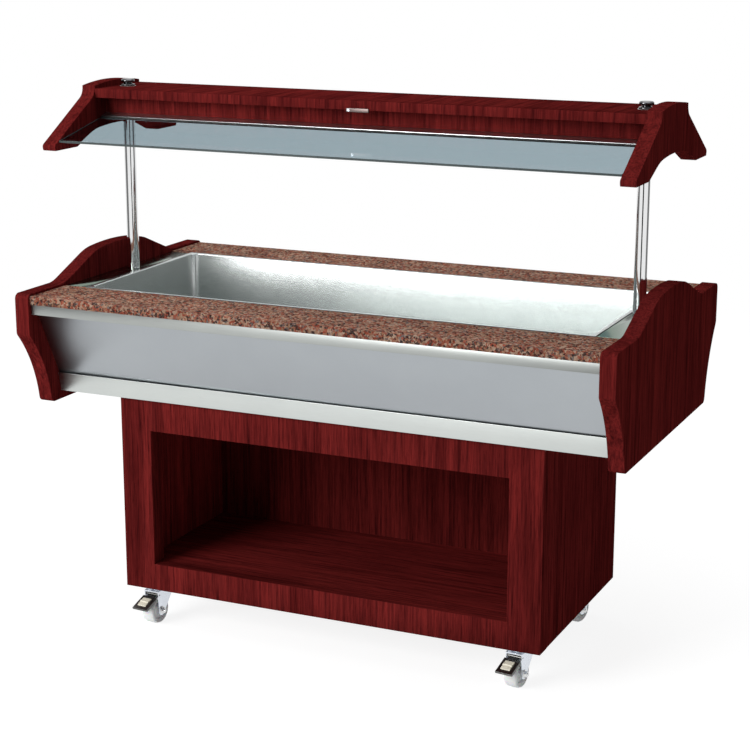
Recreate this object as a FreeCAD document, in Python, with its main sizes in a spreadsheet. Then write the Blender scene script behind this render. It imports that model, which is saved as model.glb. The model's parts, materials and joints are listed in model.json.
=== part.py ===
import FreeCAD, Part
import math
import os
import re
import Sketcher

# Mobile salad bar: a stone-topped chilled well between two shaped end panels, on a pedestal
# with an open niche and four castors, under a glazed canopy that slides down two posts.
# Millimetres.  X runs along the length, -Y is the front, Z is up, and the origin is on the
# floor under the middle.

SIZES = {
    # Whole trolley
    "overall_length": 1500,
    "castor_height": 99,
    "pedestal_setback": 201,
    "pedestal_depth": 556,
    "pedestal_height": 493,
    "body_height": 258,
    # Shaped end panels
    "panel_thickness": 38,
    "panel_depth": 832,
    "panel_lip": 6,
    "panel_face_height": 100,
    "panel_height": 286,
    "panel_foot_depth": 664,
    "panel_cove_radius": 345,
    "panel_corner_radius": 14,
    "hump_base": 516,
    "hump_crown": 220,
    "hump_height": 66,
    "crown_rise": 7,
    "hump_ease": 180,
    "hump_base_ease": 90,
    # Stone counters and the metal skirt below them
    "counter_depth": 818,
    "counter_thickness": 20,
    "counter_gap": 3,
    "trim_wall": 2.5,
    "trim_height": 25,
    "trim_setback": 5,
    "trim_shelf": 40,
    "fascia_thickness": 2,
    "fascia_inset": 24,
    "fascia_gap": 2.5,
    "fascia_tuck": 12,
    "lower_trim_depth": 604,
    "lower_trim_height": 47,
    "lower_trim_lean": 8,
    "tray_thickness": 3,
    "tray_upstand": 25,
    "tray_gap": 0.5,
    # Well
    "end_deck": 69,
    "well_width": 500,
    "well_depth": 180,
    "well_wall": 2,
    "well_corner_radius": 20,
    "rim_width": 8,
    "rim_thickness": 1.5,
    "rim_seat": 0.5,
    "rim_joint": 1,
    "foam_gap": 4,
    "deck_thickness": 2,
    "deck_gap": 1,
    # Posts
    "post_inset": 77,
    "post_radius": 15,
    "post_wall": 2,
    "post_gap": 0.3,
    "socket_radius": 20,
    "socket_floor": 6,
    "cap_gap": 0.5,
    "collar_radius": 18,
    "collar_height": 4,
    "neck_radius": 10,
    "neck_height": 4,
    "knob_radius": 17,
    "knob_height": 9,
    # Canopy
    "canopy_travel": 300,
    "nest_gap": 1,
    "leg_lift": 27,
    "leg_tip_height": 12,
    "leg_depth": 580,
    "leg_tip_radius": 9,
    "canopy_inset": 10,
    "canopy_end_thickness": 36,
    "canopy_end_height": 168,
    "canopy_end_rise": 8,
    "canopy_neck": 21,
    "canopy_neck_bend": 30,
    "board_depth": 210,
    "board_drop": 7,
    "board_thickness": 22,
    "beam_depth": 116,
    "beam_height": 40,
    "beam_wall": 15,
    "soffit_thickness": 8,
    "glass_thickness": 5,
    "glass_tilt": 11.5,
    "glass_span": 540,
    "glass_play": 0.2,
    "glass_end_gap": 0.5,
    "channel_drop": 7.5,
    "channel_wall": 2.4,
    "channel_lip": 22,
    "channel_root": 14,
    "channel_bed": 11,
    "bush_wall": 5,
    "bush_fit": 0.06,
    "bush_flange": 5,
    "bush_flange_thickness": 2,
    "pull_length": 57,
    "pull_height": 9,
    "pull_thickness": 3,
    "pull_overlap": 4.5,
    "pull_offset": 13,
    # Pedestal
    "wood_thickness": 18,
    "frame_thickness": 45,
    "stile_width": 82,
    "sill_height": 68,
    "head_height": 81,
    "niche_reveal": 44,
    "niche_head": 15,
    "niche_depth": 383,
    "lining_thickness": 12,
    "service_width": 220,
    "service_height": 140,
    "service_sill": 242,
    "chassis_width": 90,
    "chassis_wall": 3,
    # Drain
    "pipe_radius": 16,
    "pipe_wall": 2.5,
    "pipe_gap": 4,
    "drain_flange": 8,
    "drain_flange_thickness": 2,
    "drain_seat_gap": 0.5,
    "strainer_thickness": 1.5,
    "strainer_hole": 1.75,
    "strainer_pitch": 5.2,
    "valve_radius": 22,
    "valve_height": 56,
    "spout_radius": 13,
    "spout_length": 40,
    "boss_radius": 9,
    "boss_length": 30,
    "stem_radius": 4,
    "stem_depth": 15,
    "lever_gap": 0.5,
    "lever_length": 85,
    "lever_width": 14,
    "lever_thickness": 4,
    # Castors
    "castor_inset_x": 64,
    "castor_inset_y": 55,
    "plate_length": 84,
    "plate_width": 64,
    "plate_thickness": 3,
    "race_radius": 24,
    "race_height": 8.6,
    "swivel_gap": 0.4,
    "kingpin_radius": 6,
    "kingpin_head": 3.5,
    "crown_radius": 27,
    "crown_back": 24,
    "crown_thickness": 4,
    "crown_skirt": 10,
    "leg_thickness": 2.5,
    "ear_radius": 13,
    "castor_trail": 25,
    "wheel_radius": 35,
    "wheel_width": 34,
    "wheel_gap": 1.5,
    "tread_edge": 6,
    "rim_depth": 8,
    "web_width": 9,
    "hub_radius": 12,
    "hub_gap": 0.5,
    "axle_radius": 4,
    "axle_stub": 2.5,
    "washer_radius": 10,
    "washer_thickness": 1.5,
    "nut_radius": 7.5,
    "nut_thickness": 6.5,
    "pivot_fit": 0.06,
    "screw_radius": 4,
    "screw_gap": 0.25,
    "screw_length": 14,
    "screw_head_radius": 7.5,
    "screw_head_thickness": 5,
    "screw_margin": 9,
    "front_left_yaw": -5,
    "front_right_yaw": -7,
    "rear_yaw": -16,
    # Brake pedals
    "pedal_tilt": 20,
    "pedal_pivot_y": -34,
    "pedal_pivot_drop": 6,
    "pedal_reach": 62,
    "pedal_root": 11,
    "pedal_width": 42,
    "pedal_thickness": 2.5,
    "tongue_width": 24,
    "barrel_radius": 3.5,
    "pedal_pin_radius": 2,
    "shoe_start": 12,
    "shoe_end": 24,
    "shoe_width": 20,
    "shoe_thickness": 3,
}

X_AXIS = FreeCAD.Vector(1, 0, 0)
Y_AXIS = FreeCAD.Vector(0, 1, 0)
Z_AXIS = FreeCAD.Vector(0, 0, 1)

doc = FreeCAD.newDocument("SaladBar")
sheet = doc.addObject("Spreadsheet::Sheet", "Sizes")
for row, (alias, number) in enumerate(SIZES.items(), start=1):
    sheet.set(f"A{row}", alias.replace("_", " "))
    sheet.set(f"B{row}", str(number))
    sheet.setAlias(f"B{row}", alias)
doc.recompute()


# ---------------------------------------------------------------- bound values

def cells(expression):
    """The expression with each size's name pointing at its cell."""
    return re.sub(r"\b[a-z][a-z_]+\b(?!\()", lambda word: "Sizes." + word.group(0), str(expression))


def value(expression):
    return float(sheet.evalExpression(cells(expression)))


def bind(piece, **settings):
    """Sets properties of a piece to expressions over the sheet."""
    for key, expression in settings.items():
        piece.setExpression(key, cells(expression))


def place(piece, x="0", y="0", z="0", turn="0", about=Z_AXIS):
    """Stands a piece at a place, turned by some degrees about an axis."""
    rotation = FreeCAD.Rotation(about, value(turn))
    piece.Placement = FreeCAD.Placement(FreeCAD.Vector(value(x), value(y), value(z)), rotation)
    for path, expression in (("Base.x", x), ("Base.y", y), ("Base.z", z)):
        piece.setExpression("Placement." + path, cells(expression))
    if value(turn):
        piece.setExpression("Placement.Rotation.Angle", cells(turn))
    return piece


# ---------------------------------------------------------------- simple solids

def block(name, x, y, z):
    """A rectangular block; x, y and z are each a (low, high) pair."""
    box = doc.addObject("Part::Box", name)
    bind(box, Length=f"({x[1]}) - ({x[0]})", Width=f"({y[1]}) - ({y[0]})",
         Height=f"({z[1]}) - ({z[0]})")
    return place(box, x[0], y[0], z[0])


def rod(name, radius, x="0", y="0", z="0", length="10", along="Z"):
    """A round rod that starts at a point and runs along +X, +Y or +Z."""
    cylinder = doc.addObject("Part::Cylinder", name)
    bind(cylinder, Radius=radius, Height=length)
    turn, about = {"X": ("90", Y_AXIS), "Y": ("-90", X_AXIS), "Z": ("0", Z_AXIS)}[along]
    return place(cylinder, x, y, z, turn, about)


def hexagon(name, radius, x="0", y="0", z="0", length="10", along="Z"):
    """A six-sided prism that starts at a point and runs along +X or +Z."""
    prism = doc.addObject("Part::Prism", name)
    prism.Polygon = 6
    bind(prism, Circumradius=radius, Height=length)
    turn, about = {"X": ("90", Y_AXIS), "Z": ("0", Z_AXIS)}[along]
    return place(prism, x, y, z, turn, about)


def joined(name, *shapes):
    fuse = doc.addObject("Part::MultiFuse", name)
    fuse.Shapes = list(shapes)
    return fuse


def cut(name, base, *tools):
    result = doc.addObject("Part::Cut", name)
    result.Base = base
    result.Tool = tools[0] if len(tools) == 1 else joined(name + "_tools", *tools)
    return result


def mirror_pair(name, piece, normal, at_x="0", at_y="0"):
    """The piece and its mirror image, as a group of separate solids."""
    image = doc.addObject("Part::Mirroring", name + "_image")
    image.Source = piece
    image.Normal = normal
    image.Base = FreeCAD.Vector(value(at_x), value(at_y), 0)
    image.setExpression("Base.x", cells(at_x))
    image.setExpression("Base.y", cells(at_y))
    pair = doc.addObject("Part::Compound", name)
    pair.Links = [piece, image]
    return pair


# ---------------------------------------------------------------- sketched bodies

def new_body(name):
    return doc.addObject("PartDesign::Body", name)


def sketch_on(body, role, name, offset="0"):
    """An empty sketch on one of the body's origin planes, lifted along its normal."""
    sketch = body.newObject("Sketcher::SketchObject", name)
    plane = next(feature for feature in body.Origin.OriginFeatures if feature.Role == role)
    sketch.AttachmentSupport = [(plane, "")]
    sketch.MapMode = "FlatFace"
    sketch.AttachmentOffset = FreeCAD.Placement(FreeCAD.Vector(0, 0, value(offset)),
                                                FreeCAD.Rotation())
    sketch.setExpression("AttachmentOffset.Base.z", cells(offset))
    return sketch


def fixed(sketch, geometry, point, u, v):
    """Ties a point of the sketch to a pair of expressions."""
    for kind, expression in (("DistanceX", u), ("DistanceY", v)):
        index = sketch.addConstraint(Sketcher.Constraint(kind, -1, 1, geometry, point,
                                                         value(expression)))
        sketch.setExpression(f"Constraints[{index}]", cells(expression))


def outline(sketch, corners):
    """Draws a closed outline clockwise through (u, v) or (u, v, bend) corners.

    A bend is the radius of the arc to the next corner: bare for an outward arc, and with
    "in" before it for an inward one.
    """
    count = len(corners)
    spots = [FreeCAD.Vector(value(corner[0]), value(corner[1]), 0) for corner in corners]
    starts = []
    ends = []
    for index, corner in enumerate(corners):
        here, there = spots[index], spots[(index + 1) % count]
        bend = corner[2] if len(corner) > 2 else ""
        if not bend:
            edge = sketch.addGeometry(Part.LineSegment(here, there), False)
            starts.append((edge, 1))
            ends.append((edge, 2))
            continue
        inward = bend.startswith("in ")
        bend = bend.removeprefix("in ")
        radius = value(bend)
        chord = there - here
        side = FreeCAD.Vector(chord.y, -chord.x, 0).normalize()
        height = math.sqrt(radius ** 2 - (chord.Length / 2) ** 2)
        centre = (here + there) / 2 + side * (-height if inward else height)
        first, last = (here, there) if inward else (there, here)
        angles = [math.atan2(spot.y - centre.y, spot.x - centre.x) for spot in (first, last)]
        if angles[1] < angles[0]:
            angles[1] += 2 * math.pi
        circle = Part.Circle(centre, Z_AXIS, radius)
        edge = sketch.addGeometry(Part.ArcOfCircle(circle, *angles), False)
        starts.append((edge, 1 if inward else 2))
        ends.append((edge, 2 if inward else 1))
        arc = sketch.addConstraint(Sketcher.Constraint("Radius", edge, radius))
        sketch.setExpression(f"Constraints[{arc}]", cells(bend))
    for index, corner in enumerate(corners):
        sketch.addConstraint(Sketcher.Constraint("Coincident", *ends[index - 1], *starts[index]))
        fixed(sketch, *starts[index], corner[0], corner[1])


def circles(sketch, spots, radius):
    """Draws a circle of one radius at each (u, v) spot."""
    for u, v in spots:
        circle = Part.Circle(FreeCAD.Vector(value(u), value(v), 0), Z_AXIS, value(radius))
        edge = sketch.addGeometry(circle, False)
        fixed(sketch, edge, 3, u, v)
        index = sketch.addConstraint(Sketcher.Constraint("Radius", edge, value(radius)))
        sketch.setExpression(f"Constraints[{index}]", cells(radius))


def rectangle(u, v):
    return [(u[0], v[1]), (u[1], v[1]), (u[1], v[0]), (u[0], v[0])]


def rounded_rectangle(u, v, radius):
    """Corners of a rectangle about the middle of the sketch, with rounded corners."""
    near_u, near_v = f"({u} - {radius})", f"({v} - {radius})"
    return [(f"-{u}", near_v, radius), (f"-{near_u}", v), (near_u, v, radius), (u, near_v),
            (u, f"-{near_v}", radius), (near_u, f"-{v}"), (f"-{near_u}", f"-{v}", radius),
            (f"-{u}", f"-{near_v}")]


def swept(body, kind, sketch, length, symmetric=True, reverse=False):
    """A Pad or a Pocket of a sketch."""
    feature = body.newObject("PartDesign::" + kind, sketch.Name + "_" + kind.lower())
    feature.Profile = sketch
    feature.SideType = "Symmetric" if symmetric else "One side"
    feature.Reversed = reverse
    bind(feature, Length=length)
    sketch.Visibility = False
    doc.recompute()
    return feature


def spun(body, sketch, axis):
    """A full turn of a sketch about its own H_Axis or V_Axis."""
    feature = body.newObject("PartDesign::Revolution", sketch.Name + "_turned")
    feature.Profile = sketch
    feature.ReferenceAxis = (sketch, [axis])
    feature.Angle = 360
    doc.recompute()
    return feature


def round_edges(body, radius, spots):
    """Rounds the edges that pass through the given points of the body."""
    doc.recompute()
    base = body.Tip
    names = []
    for spot in spots:
        point = Part.Vertex(*(value(number) for number in spot))
        distances = [edge.distToShape(point)[0] for edge in base.Shape.Edges]
        names.append(f"Edge{distances.index(min(distances)) + 1}")
    fillet = body.newObject("PartDesign::Fillet", f"{body.Name}_round_{len(body.Group)}")
    fillet.Base = (base, names)
    bind(fillet, Radius=radius)
    body.Tip = fillet
    doc.recompute()
    return fillet


def profile_body(name, corners, length):
    """A bar of one cross-section, drawn in YZ and running both ways along X."""
    body = new_body(name)
    sketch = sketch_on(body, "YZ_Plane", name + "_section")
    outline(sketch, corners)
    swept(body, "Pad", sketch, length)
    return body


def both_sides(half, closing=""):
    """The corners of a symmetric outline from its +u half, which runs downwards.

    The closing bend is that of the edge over the top, from the -u side to the +u side.
    """
    bends = [corner[2] if len(corner) > 2 else "" for corner in half]
    right = [(corner[0], corner[1], bend) for corner, bend in zip(half, bends)]
    left = [(f"-({corner[0]})", corner[1]) for corner in reversed(half)]
    left_bends = bends[:-1][::-1] + [closing]
    return right + [(u, v, bend) for (u, v), bend in zip(left, left_bends)]


# ---------------------------------------------------------------- shared planes

PEDESTAL_TOP = "(castor_height + pedestal_height)"
WORKTOP = "(castor_height + pedestal_height + body_height)"
COUNTER_UNDER = f"({WORKTOP} - counter_thickness)"
SHOULDER = f"({WORKTOP} + panel_lip)"
PANEL_INNER = "(overall_length / 2 - panel_thickness)"
INNER_LENGTH = f"(2 * {PANEL_INNER})"
POST_X = "(overall_length / 2 - post_inset)"
HUMP_SLOPE = "((hump_height - crown_rise) / (hump_base / 2 - hump_crown / 2))"
CROWN_RADIUS = "(((hump_crown / 2) ^ 2 + crown_rise ^ 2) / (2 * crown_rise))"
TRAY_TOP = f"({PEDESTAL_TOP} + tray_thickness)"
WELL_HALF = f"({PANEL_INNER} - end_deck)"
WELL_FLOOR = f"({WORKTOP} - well_depth)"
RIM_SEAT = f"({WORKTOP} - rim_seat)"
DECK_UNDER = f"({RIM_SEAT} - deck_thickness)"
DRAIN_SEAT = "(pipe_radius + drain_flange + drain_seat_gap)"

ARCH_BASE = f"({SHOULDER} + canopy_travel + nest_gap)"
CANOPY_END_TOP = f"({ARCH_BASE} + canopy_end_height)"
BOARD_TOP = f"({CANOPY_END_TOP} - board_drop)"
BEAM_TOP = f"({BOARD_TOP} - board_thickness)"
BEAM_BOTTOM = f"({BEAM_TOP} - beam_height)"
CANOPY_INNER = "(overall_length / 2 - canopy_inset - canopy_end_thickness)"

FRAME_BACK = "(frame_thickness - pedestal_depth / 2)"
NICHE_BACK = f"({FRAME_BACK} + niche_depth)"
REAR_BOARD = "(pedestal_depth / 2 - wood_thickness)"
PEDESTAL_HALF = "(overall_length / 2 - pedestal_setback)"
SIDE_INNER = f"({PEDESTAL_HALF} - wood_thickness)"
NICHE_HALF = f"({PEDESTAL_HALF} - stile_width)"
NICHE_WALL = f"({NICHE_HALF} + niche_reveal)"
NICHE_FLOOR = "(castor_height + sill_height)"
NICHE_TOP = f"({PEDESTAL_TOP} - head_height)"
LINING_TOP = f"({NICHE_TOP} + niche_head)"
DRAIN_Y = f"(({NICHE_BACK} + lining_thickness + {REAR_BOARD}) / 2)"
VALVE_Z = "(castor_height + service_sill + service_height / 2)"


# ---------------------------------------------------------------- end panels

def end_panel(name, side):
    """A shaped wooden end: humped top, square shoulders and coved lower edges."""
    crown = (f"{SHOULDER} + hump_height - crown_rise")
    half = [
        ("hump_crown / 2", crown),
        ("hump_base / 2", SHOULDER),
        ("panel_depth / 2", SHOULDER),
        ("panel_depth / 2", f"{SHOULDER} - panel_face_height", "in panel_cove_radius"),
        ("panel_foot_depth / 2", f"{SHOULDER} - panel_height"),
    ]
    body = new_body(name)
    sketch = sketch_on(body, "YZ_Plane", name + "_outline")
    outline(sketch, both_sides(half, CROWN_RADIUS))
    swept(body, "Pad", sketch, "panel_thickness", symmetric=False)
    middle = "panel_thickness / 2"
    for radius, corner in (("hump_ease", half[0]), ("hump_base_ease", half[1]),
                           ("panel_corner_radius", half[2]), ("panel_corner_radius", half[3]),
                           ("panel_corner_radius", half[4])):
        spots = [(middle, corner[0], corner[1]), (middle, f"-({corner[0]})", corner[1])]
        round_edges(body, radius, spots)
    place(body, f"{side} * {PANEL_INNER}", turn="0" if side > 0 else "180")


# ---------------------------------------------------------------- counter, skirt and well

def counter(name, turn):
    """Stone slab, let down along its inner edge where the well's rim lies on it."""
    inner, joint = "(well_width / 2 + counter_gap)", "(well_width / 2 + rim_width + rim_joint)"
    corners = [(inner, COUNTER_UNDER), ("counter_depth / 2", COUNTER_UNDER),
               ("counter_depth / 2", WORKTOP), (joint, WORKTOP), (joint, RIM_SEAT),
               (inner, RIM_SEAT)]
    place(profile_body(name, corners, INNER_LENGTH), turn=turn)


def skirt(side, turn):
    """Top trim, sloping fascia and lower trim of one long side."""
    face = "(counter_depth / 2 - trim_setback)"
    foot = f"({COUNTER_UNDER} - trim_height)"
    reach = "(fascia_inset + fascia_thickness + trim_wall)"
    top_trim = [
        (face, COUNTER_UNDER),
        (face, foot),
        (f"{face} - {reach}", foot),
        (f"{face} - {reach}", f"{foot} + trim_wall"),
        (f"{face} - trim_wall", f"{foot} + trim_wall"),
        (f"{face} - trim_wall", f"{COUNTER_UNDER} - trim_wall"),
        (f"{face} - trim_shelf", f"{COUNTER_UNDER} - trim_wall"),
        (f"{face} - trim_shelf", COUNTER_UNDER),
    ]
    place(profile_body("top_trim_" + side, top_trim, INNER_LENGTH), turn=turn)

    low = "(lower_trim_depth / 2)"
    low_top = f"({PEDESTAL_TOP} + lower_trim_height)"
    upper_y = f"({face} - fascia_inset)"
    lower_y = f"({low} - trim_wall - fascia_gap)"
    slope = f"(({upper_y} - {lower_y}) / ({foot} - {low_top}))"
    tuck_y = f"({lower_y} - fascia_tuck * {slope})"
    fascia = [
        (upper_y, foot),
        (tuck_y, f"{low_top} - fascia_tuck"),
        (f"{tuck_y} - fascia_thickness", f"{low_top} - fascia_tuck"),
        (f"{upper_y} - fascia_thickness", foot),
    ]
    place(profile_body("fascia_" + side, fascia, INNER_LENGTH), turn=turn)

    lower_trim = [
        (low, low_top),
        (f"{low} - lower_trim_lean", PEDESTAL_TOP),
        (f"{low} - lower_trim_lean - trim_wall", PEDESTAL_TOP),
        (f"{low} - trim_wall", low_top),
    ]
    place(profile_body("lower_trim_" + side, lower_trim, INNER_LENGTH), turn=turn)


TRAY_HALF = "(lower_trim_depth / 2 - lower_trim_lean - trim_wall - tray_gap)"


def underside_tray():
    """Folded steel tray that closes the body below and stands on the pedestal."""
    edge = f"({TRAY_TOP} + tray_upstand)"
    half = [
        (f"{TRAY_HALF} - tray_thickness", edge),
        (TRAY_HALF, edge),
        (TRAY_HALF, PEDESTAL_TOP),
    ]
    corners = both_sides(half)
    corners += [(f"-({TRAY_HALF} - tray_thickness)", TRAY_TOP),
                (f"{TRAY_HALF} - tray_thickness", TRAY_TOP)]
    body = profile_body("underside_tray", corners, INNER_LENGTH)
    sketch = sketch_on(body, "XY_Plane", "tray_drain_hole", PEDESTAL_TOP)
    circles(sketch, [("0", DRAIN_Y)], "pipe_radius + pipe_gap")
    swept(body, "Pocket", sketch, "2 * tray_thickness", symmetric=False, reverse=True)


def well_liner():
    """Stainless pan with a turned-out rim that laps the counters and the end decks."""
    body = new_body("well_liner")
    half_x, half_y = WELL_HALF, "(well_width / 2)"
    under = f"({WELL_FLOOR} - well_wall - drain_flange_thickness)"

    shell = sketch_on(body, "XY_Plane", "liner_shell", f"{WELL_FLOOR} - well_wall")
    outline(shell, rounded_rectangle(half_x, half_y, "(well_corner_radius + well_wall)"))
    swept(body, "Pad", shell, "well_depth + well_wall", symmetric=False)

    seat = sketch_on(body, "XY_Plane", "liner_drain_seat", under)
    circles(seat, [("0", DRAIN_Y)], f"{DRAIN_SEAT} + well_wall")
    swept(body, "Pad", seat, "drain_flange_thickness + well_wall / 2", symmetric=False)

    rim = sketch_on(body, "XY_Plane", "liner_rim", RIM_SEAT)
    rim_x, rim_y = f"({half_x} + rim_width)", f"({half_y} + rim_width)"
    outline(rim, rectangle((f"-{rim_x}", rim_x), (f"-{rim_y}", rim_y)))
    swept(body, "Pad", rim, "rim_thickness", symmetric=False)

    hollow = sketch_on(body, "XY_Plane", "liner_hollow", WELL_FLOOR)
    outline(hollow, rounded_rectangle(f"({half_x} - well_wall)", f"({half_y} - well_wall)",
                                      "well_corner_radius"))
    swept(body, "Pocket", hollow, "well_depth + 2 * rim_thickness", symmetric=False, reverse=True)

    recess = sketch_on(body, "XY_Plane", "liner_drain_recess",
                       f"{WELL_FLOOR} - drain_flange_thickness")
    circles(recess, [("0", DRAIN_Y)], DRAIN_SEAT)
    swept(body, "Pocket", recess, "2 * drain_flange_thickness", symmetric=False, reverse=True)

    drain = sketch_on(body, "XY_Plane", "liner_drain_hole", f"{under} - well_wall")
    circles(drain, [("0", DRAIN_Y)], "pipe_radius + post_gap")
    swept(body, "Pocket", drain, "4 * well_wall", symmetric=False, reverse=True)


def well_insulation():
    """Foam block around the pan, bored for the post sockets and the drain."""
    width = f"({TRAY_HALF} - tray_thickness - foam_gap)"
    core = block("foam_core", (f"-{PANEL_INNER}", PANEL_INNER), (f"-{width}", width),
                 (TRAY_TOP, COUNTER_UNDER))
    deck_y = "(well_width / 2 + counter_gap - deck_gap)"
    decks = [block(f"foam_deck_{name}", x, (f"-{deck_y}", deck_y), (COUNTER_UNDER, DECK_UNDER))
             for name, x in (("right", (f"{WELL_HALF} + deck_gap", PANEL_INNER)),
                             ("left", (f"-{PANEL_INNER}", f"-({WELL_HALF} + deck_gap)")))]
    recess = block("foam_recess", (f"-{WELL_HALF}", WELL_HALF),
                   ("-well_width / 2", "well_width / 2"), (f"{WELL_FLOOR} - well_wall", WORKTOP))
    bores = [rod(f"foam_bore_{index}", "socket_radius + post_gap", x, "0", PEDESTAL_TOP,
                 "body_height") for index, x in enumerate((f"-{POST_X}", POST_X))]
    bores.append(rod("foam_bore_drain", "pipe_radius + pipe_gap", "0", DRAIN_Y, PEDESTAL_TOP,
                     "body_height"))
    bores.append(rod("foam_bore_seat", f"{DRAIN_SEAT} + well_wall + drain_seat_gap", "0", DRAIN_Y,
                     f"{WELL_FLOOR} - 2 * well_wall - drain_flange_thickness", "body_height"))
    cut("well_insulation", joined("foam_blank", core, *decks), recess, *bores)


def deck_plate(name, side):
    """Polished plate beside the well, with the hole that its post comes up through."""
    near, far = f"({WELL_HALF} + deck_gap)", PANEL_INNER
    x = (near, far) if side > 0 else (f"-{far}", f"-{near}")
    y = "(well_width / 2 + counter_gap - deck_gap)"
    sheet_metal = block(name + "_blank", x, (f"-{y}", y), (DECK_UNDER, RIM_SEAT))
    hole = rod(name + "_hole", "post_radius + post_gap", f"{side} * {POST_X}", "0",
               f"{DECK_UNDER} - deck_thickness", "3 * deck_thickness")
    cut(name, sheet_metal, hole)


# ---------------------------------------------------------------- posts

POST_FOOT = f"({TRAY_TOP} + socket_floor)"
POST_TOP = f"({BOARD_TOP} + cap_gap)"


def post(name, side):
    outer = rod(name + "_tube", "post_radius", f"{side} * {POST_X}", "0", POST_FOOT,
                f"{POST_TOP} - {POST_FOOT}")
    bore = rod(name + "_bore", "post_radius - post_wall", f"{side} * {POST_X}", "0",
               f"{POST_FOOT} - post_wall", f"{POST_TOP} - {POST_FOOT} + 2 * post_wall")
    cut(name, outer, bore)


def post_sockets():
    """Steel cups in the foam that hold the feet of the posts."""
    cup = rod("socket_cup", "socket_radius", POST_X, "0", TRAY_TOP, f"{DECK_UNDER} - {TRAY_TOP}")
    bore = rod("socket_bore", "post_radius + post_gap", POST_X, "0", POST_FOOT, "body_height")
    mirror_pair("post_sockets", cut("socket_right", cup, bore), X_AXIS)


def post_caps():
    """Collar, neck and round head on top of each post: the canopy's upper stops."""
    body = new_body("cap_right")
    sketch = sketch_on(body, "XZ_Plane", "cap_section")
    neck = "collar_height + neck_height"
    outline(sketch, [
        ("0", f"{neck} + knob_height"),
        ("knob_radius - knob_height / 2", f"{neck} + knob_height", "knob_height / 2 * 1.01"),
        ("knob_radius - knob_height / 2", neck),
        ("neck_radius", neck),
        ("neck_radius", "collar_height"),
        ("collar_radius", "collar_height"),
        ("collar_radius", "0"),
        ("0", "0"),
    ])
    spun(body, sketch, "V_Axis")
    place(body, POST_X, "0", POST_TOP)
    mirror_pair("post_caps", body, X_AXIS)


# ---------------------------------------------------------------- canopy

def canopy_end(name, side):
    """Wooden canopy end whose arch repeats the hump of the end panel below it."""
    leg_bottom = f"({ARCH_BASE} + leg_lift)"
    leg_inner = f"(hump_base / 2 - leg_lift / {HUMP_SLOPE})"
    half = [
        ("board_depth / 2", CANOPY_END_TOP),
        ("board_depth / 2", f"{CANOPY_END_TOP} - canopy_neck"),
        ("leg_depth / 2", f"{leg_bottom} + leg_tip_height"),
        ("leg_depth / 2 - leg_tip_height / 2", leg_bottom),
        (leg_inner, leg_bottom),
        ("hump_crown / 2", f"{ARCH_BASE} + hump_height - crown_rise", f"in {CROWN_RADIUS}"),
    ]
    rise_radius = "((board_depth / 2) ^ 2 + canopy_end_rise ^ 2) / (2 * canopy_end_rise)"
    body = new_body(name)
    sketch = sketch_on(body, "YZ_Plane", name + "_outline")
    outline(sketch, both_sides(half, rise_radius))
    swept(body, "Pad", sketch, "canopy_end_thickness", symmetric=False)
    middle = "canopy_end_thickness / 2"
    for radius, corner in (("canopy_neck_bend", half[1]), ("leg_tip_radius", half[2]),
                           ("leg_tip_radius", half[4]), ("hump_ease", half[5])):
        spots = [(middle, corner[0], corner[1]), (middle, f"-({corner[0]})", corner[1])]
        round_edges(body, radius, spots)
    place(body, f"{side} * {CANOPY_INNER}", turn="0" if side > 0 else "180")


def canopy_beam():
    """Top board over a box beam of two rails and a soffit, bored for the guide bushes."""
    x = (f"-{CANOPY_INNER}", CANOPY_INNER)
    bush = "post_radius + bush_fit + bush_wall"
    board = block("board_blank", x, ("-board_depth / 2", "board_depth / 2"),
                  (BEAM_TOP, BOARD_TOP))
    soffit_y = "(beam_depth / 2 - beam_wall)"
    soffit = block("soffit_blank", x, (f"-{soffit_y}", soffit_y),
                   (BEAM_BOTTOM, f"{BEAM_BOTTOM} + soffit_thickness"))
    for name, blank in (("canopy_board", board), ("canopy_soffit", soffit)):
        holes = [rod(f"{name}_hole_{index}", bush, spot, "0", f"{BEAM_BOTTOM} - soffit_thickness",
                     "2 * (beam_height + board_thickness)")
                 for index, spot in enumerate((f"-{POST_X}", POST_X))]
        cut(name, blank, *holes)
    z = (BEAM_BOTTOM, BEAM_TOP)
    block("canopy_rail_front", x, ("-beam_depth / 2", "beam_wall - beam_depth / 2"), z)
    block("canopy_rail_rear", x, ("beam_depth / 2 - beam_wall", "beam_depth / 2"), z)


def post_bushes():
    """Flanged sleeves that guide the canopy on the posts."""
    outer = "(post_radius + bush_fit + bush_wall)"
    sleeve = rod("bush_sleeve", outer, POST_X, "0", BEAM_BOTTOM, f"{BOARD_TOP} - {BEAM_BOTTOM}")
    flange = rod("bush_collar", f"{outer} + bush_flange", POST_X, "0",
                 f"{BEAM_BOTTOM} - bush_flange_thickness", "bush_flange_thickness")
    bore = rod("bush_bore", "post_radius + bush_fit", POST_X, "0",
               f"{BEAM_BOTTOM} - 2 * bush_flange_thickness",
               f"{BOARD_TOP} - {BEAM_BOTTOM} + 4 * bush_flange_thickness")
    bush = cut("bush_right", joined("bush_blank", sleeve, flange), bore)
    mirror_pair("post_bushes", bush, X_AXIS)


GLASS_HALF = "(glass_thickness / 2 / cos(glass_tilt))"
SLOT_HALF = "((glass_thickness / 2 + glass_play) / cos(glass_tilt))"


def glass_line(y):
    """Height of the glass's middle plane at a distance y from the middle of the canopy."""
    return f"({BEAM_BOTTOM} - channel_drop - tan(glass_tilt) * ({y} - beam_depth / 2))"


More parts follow.
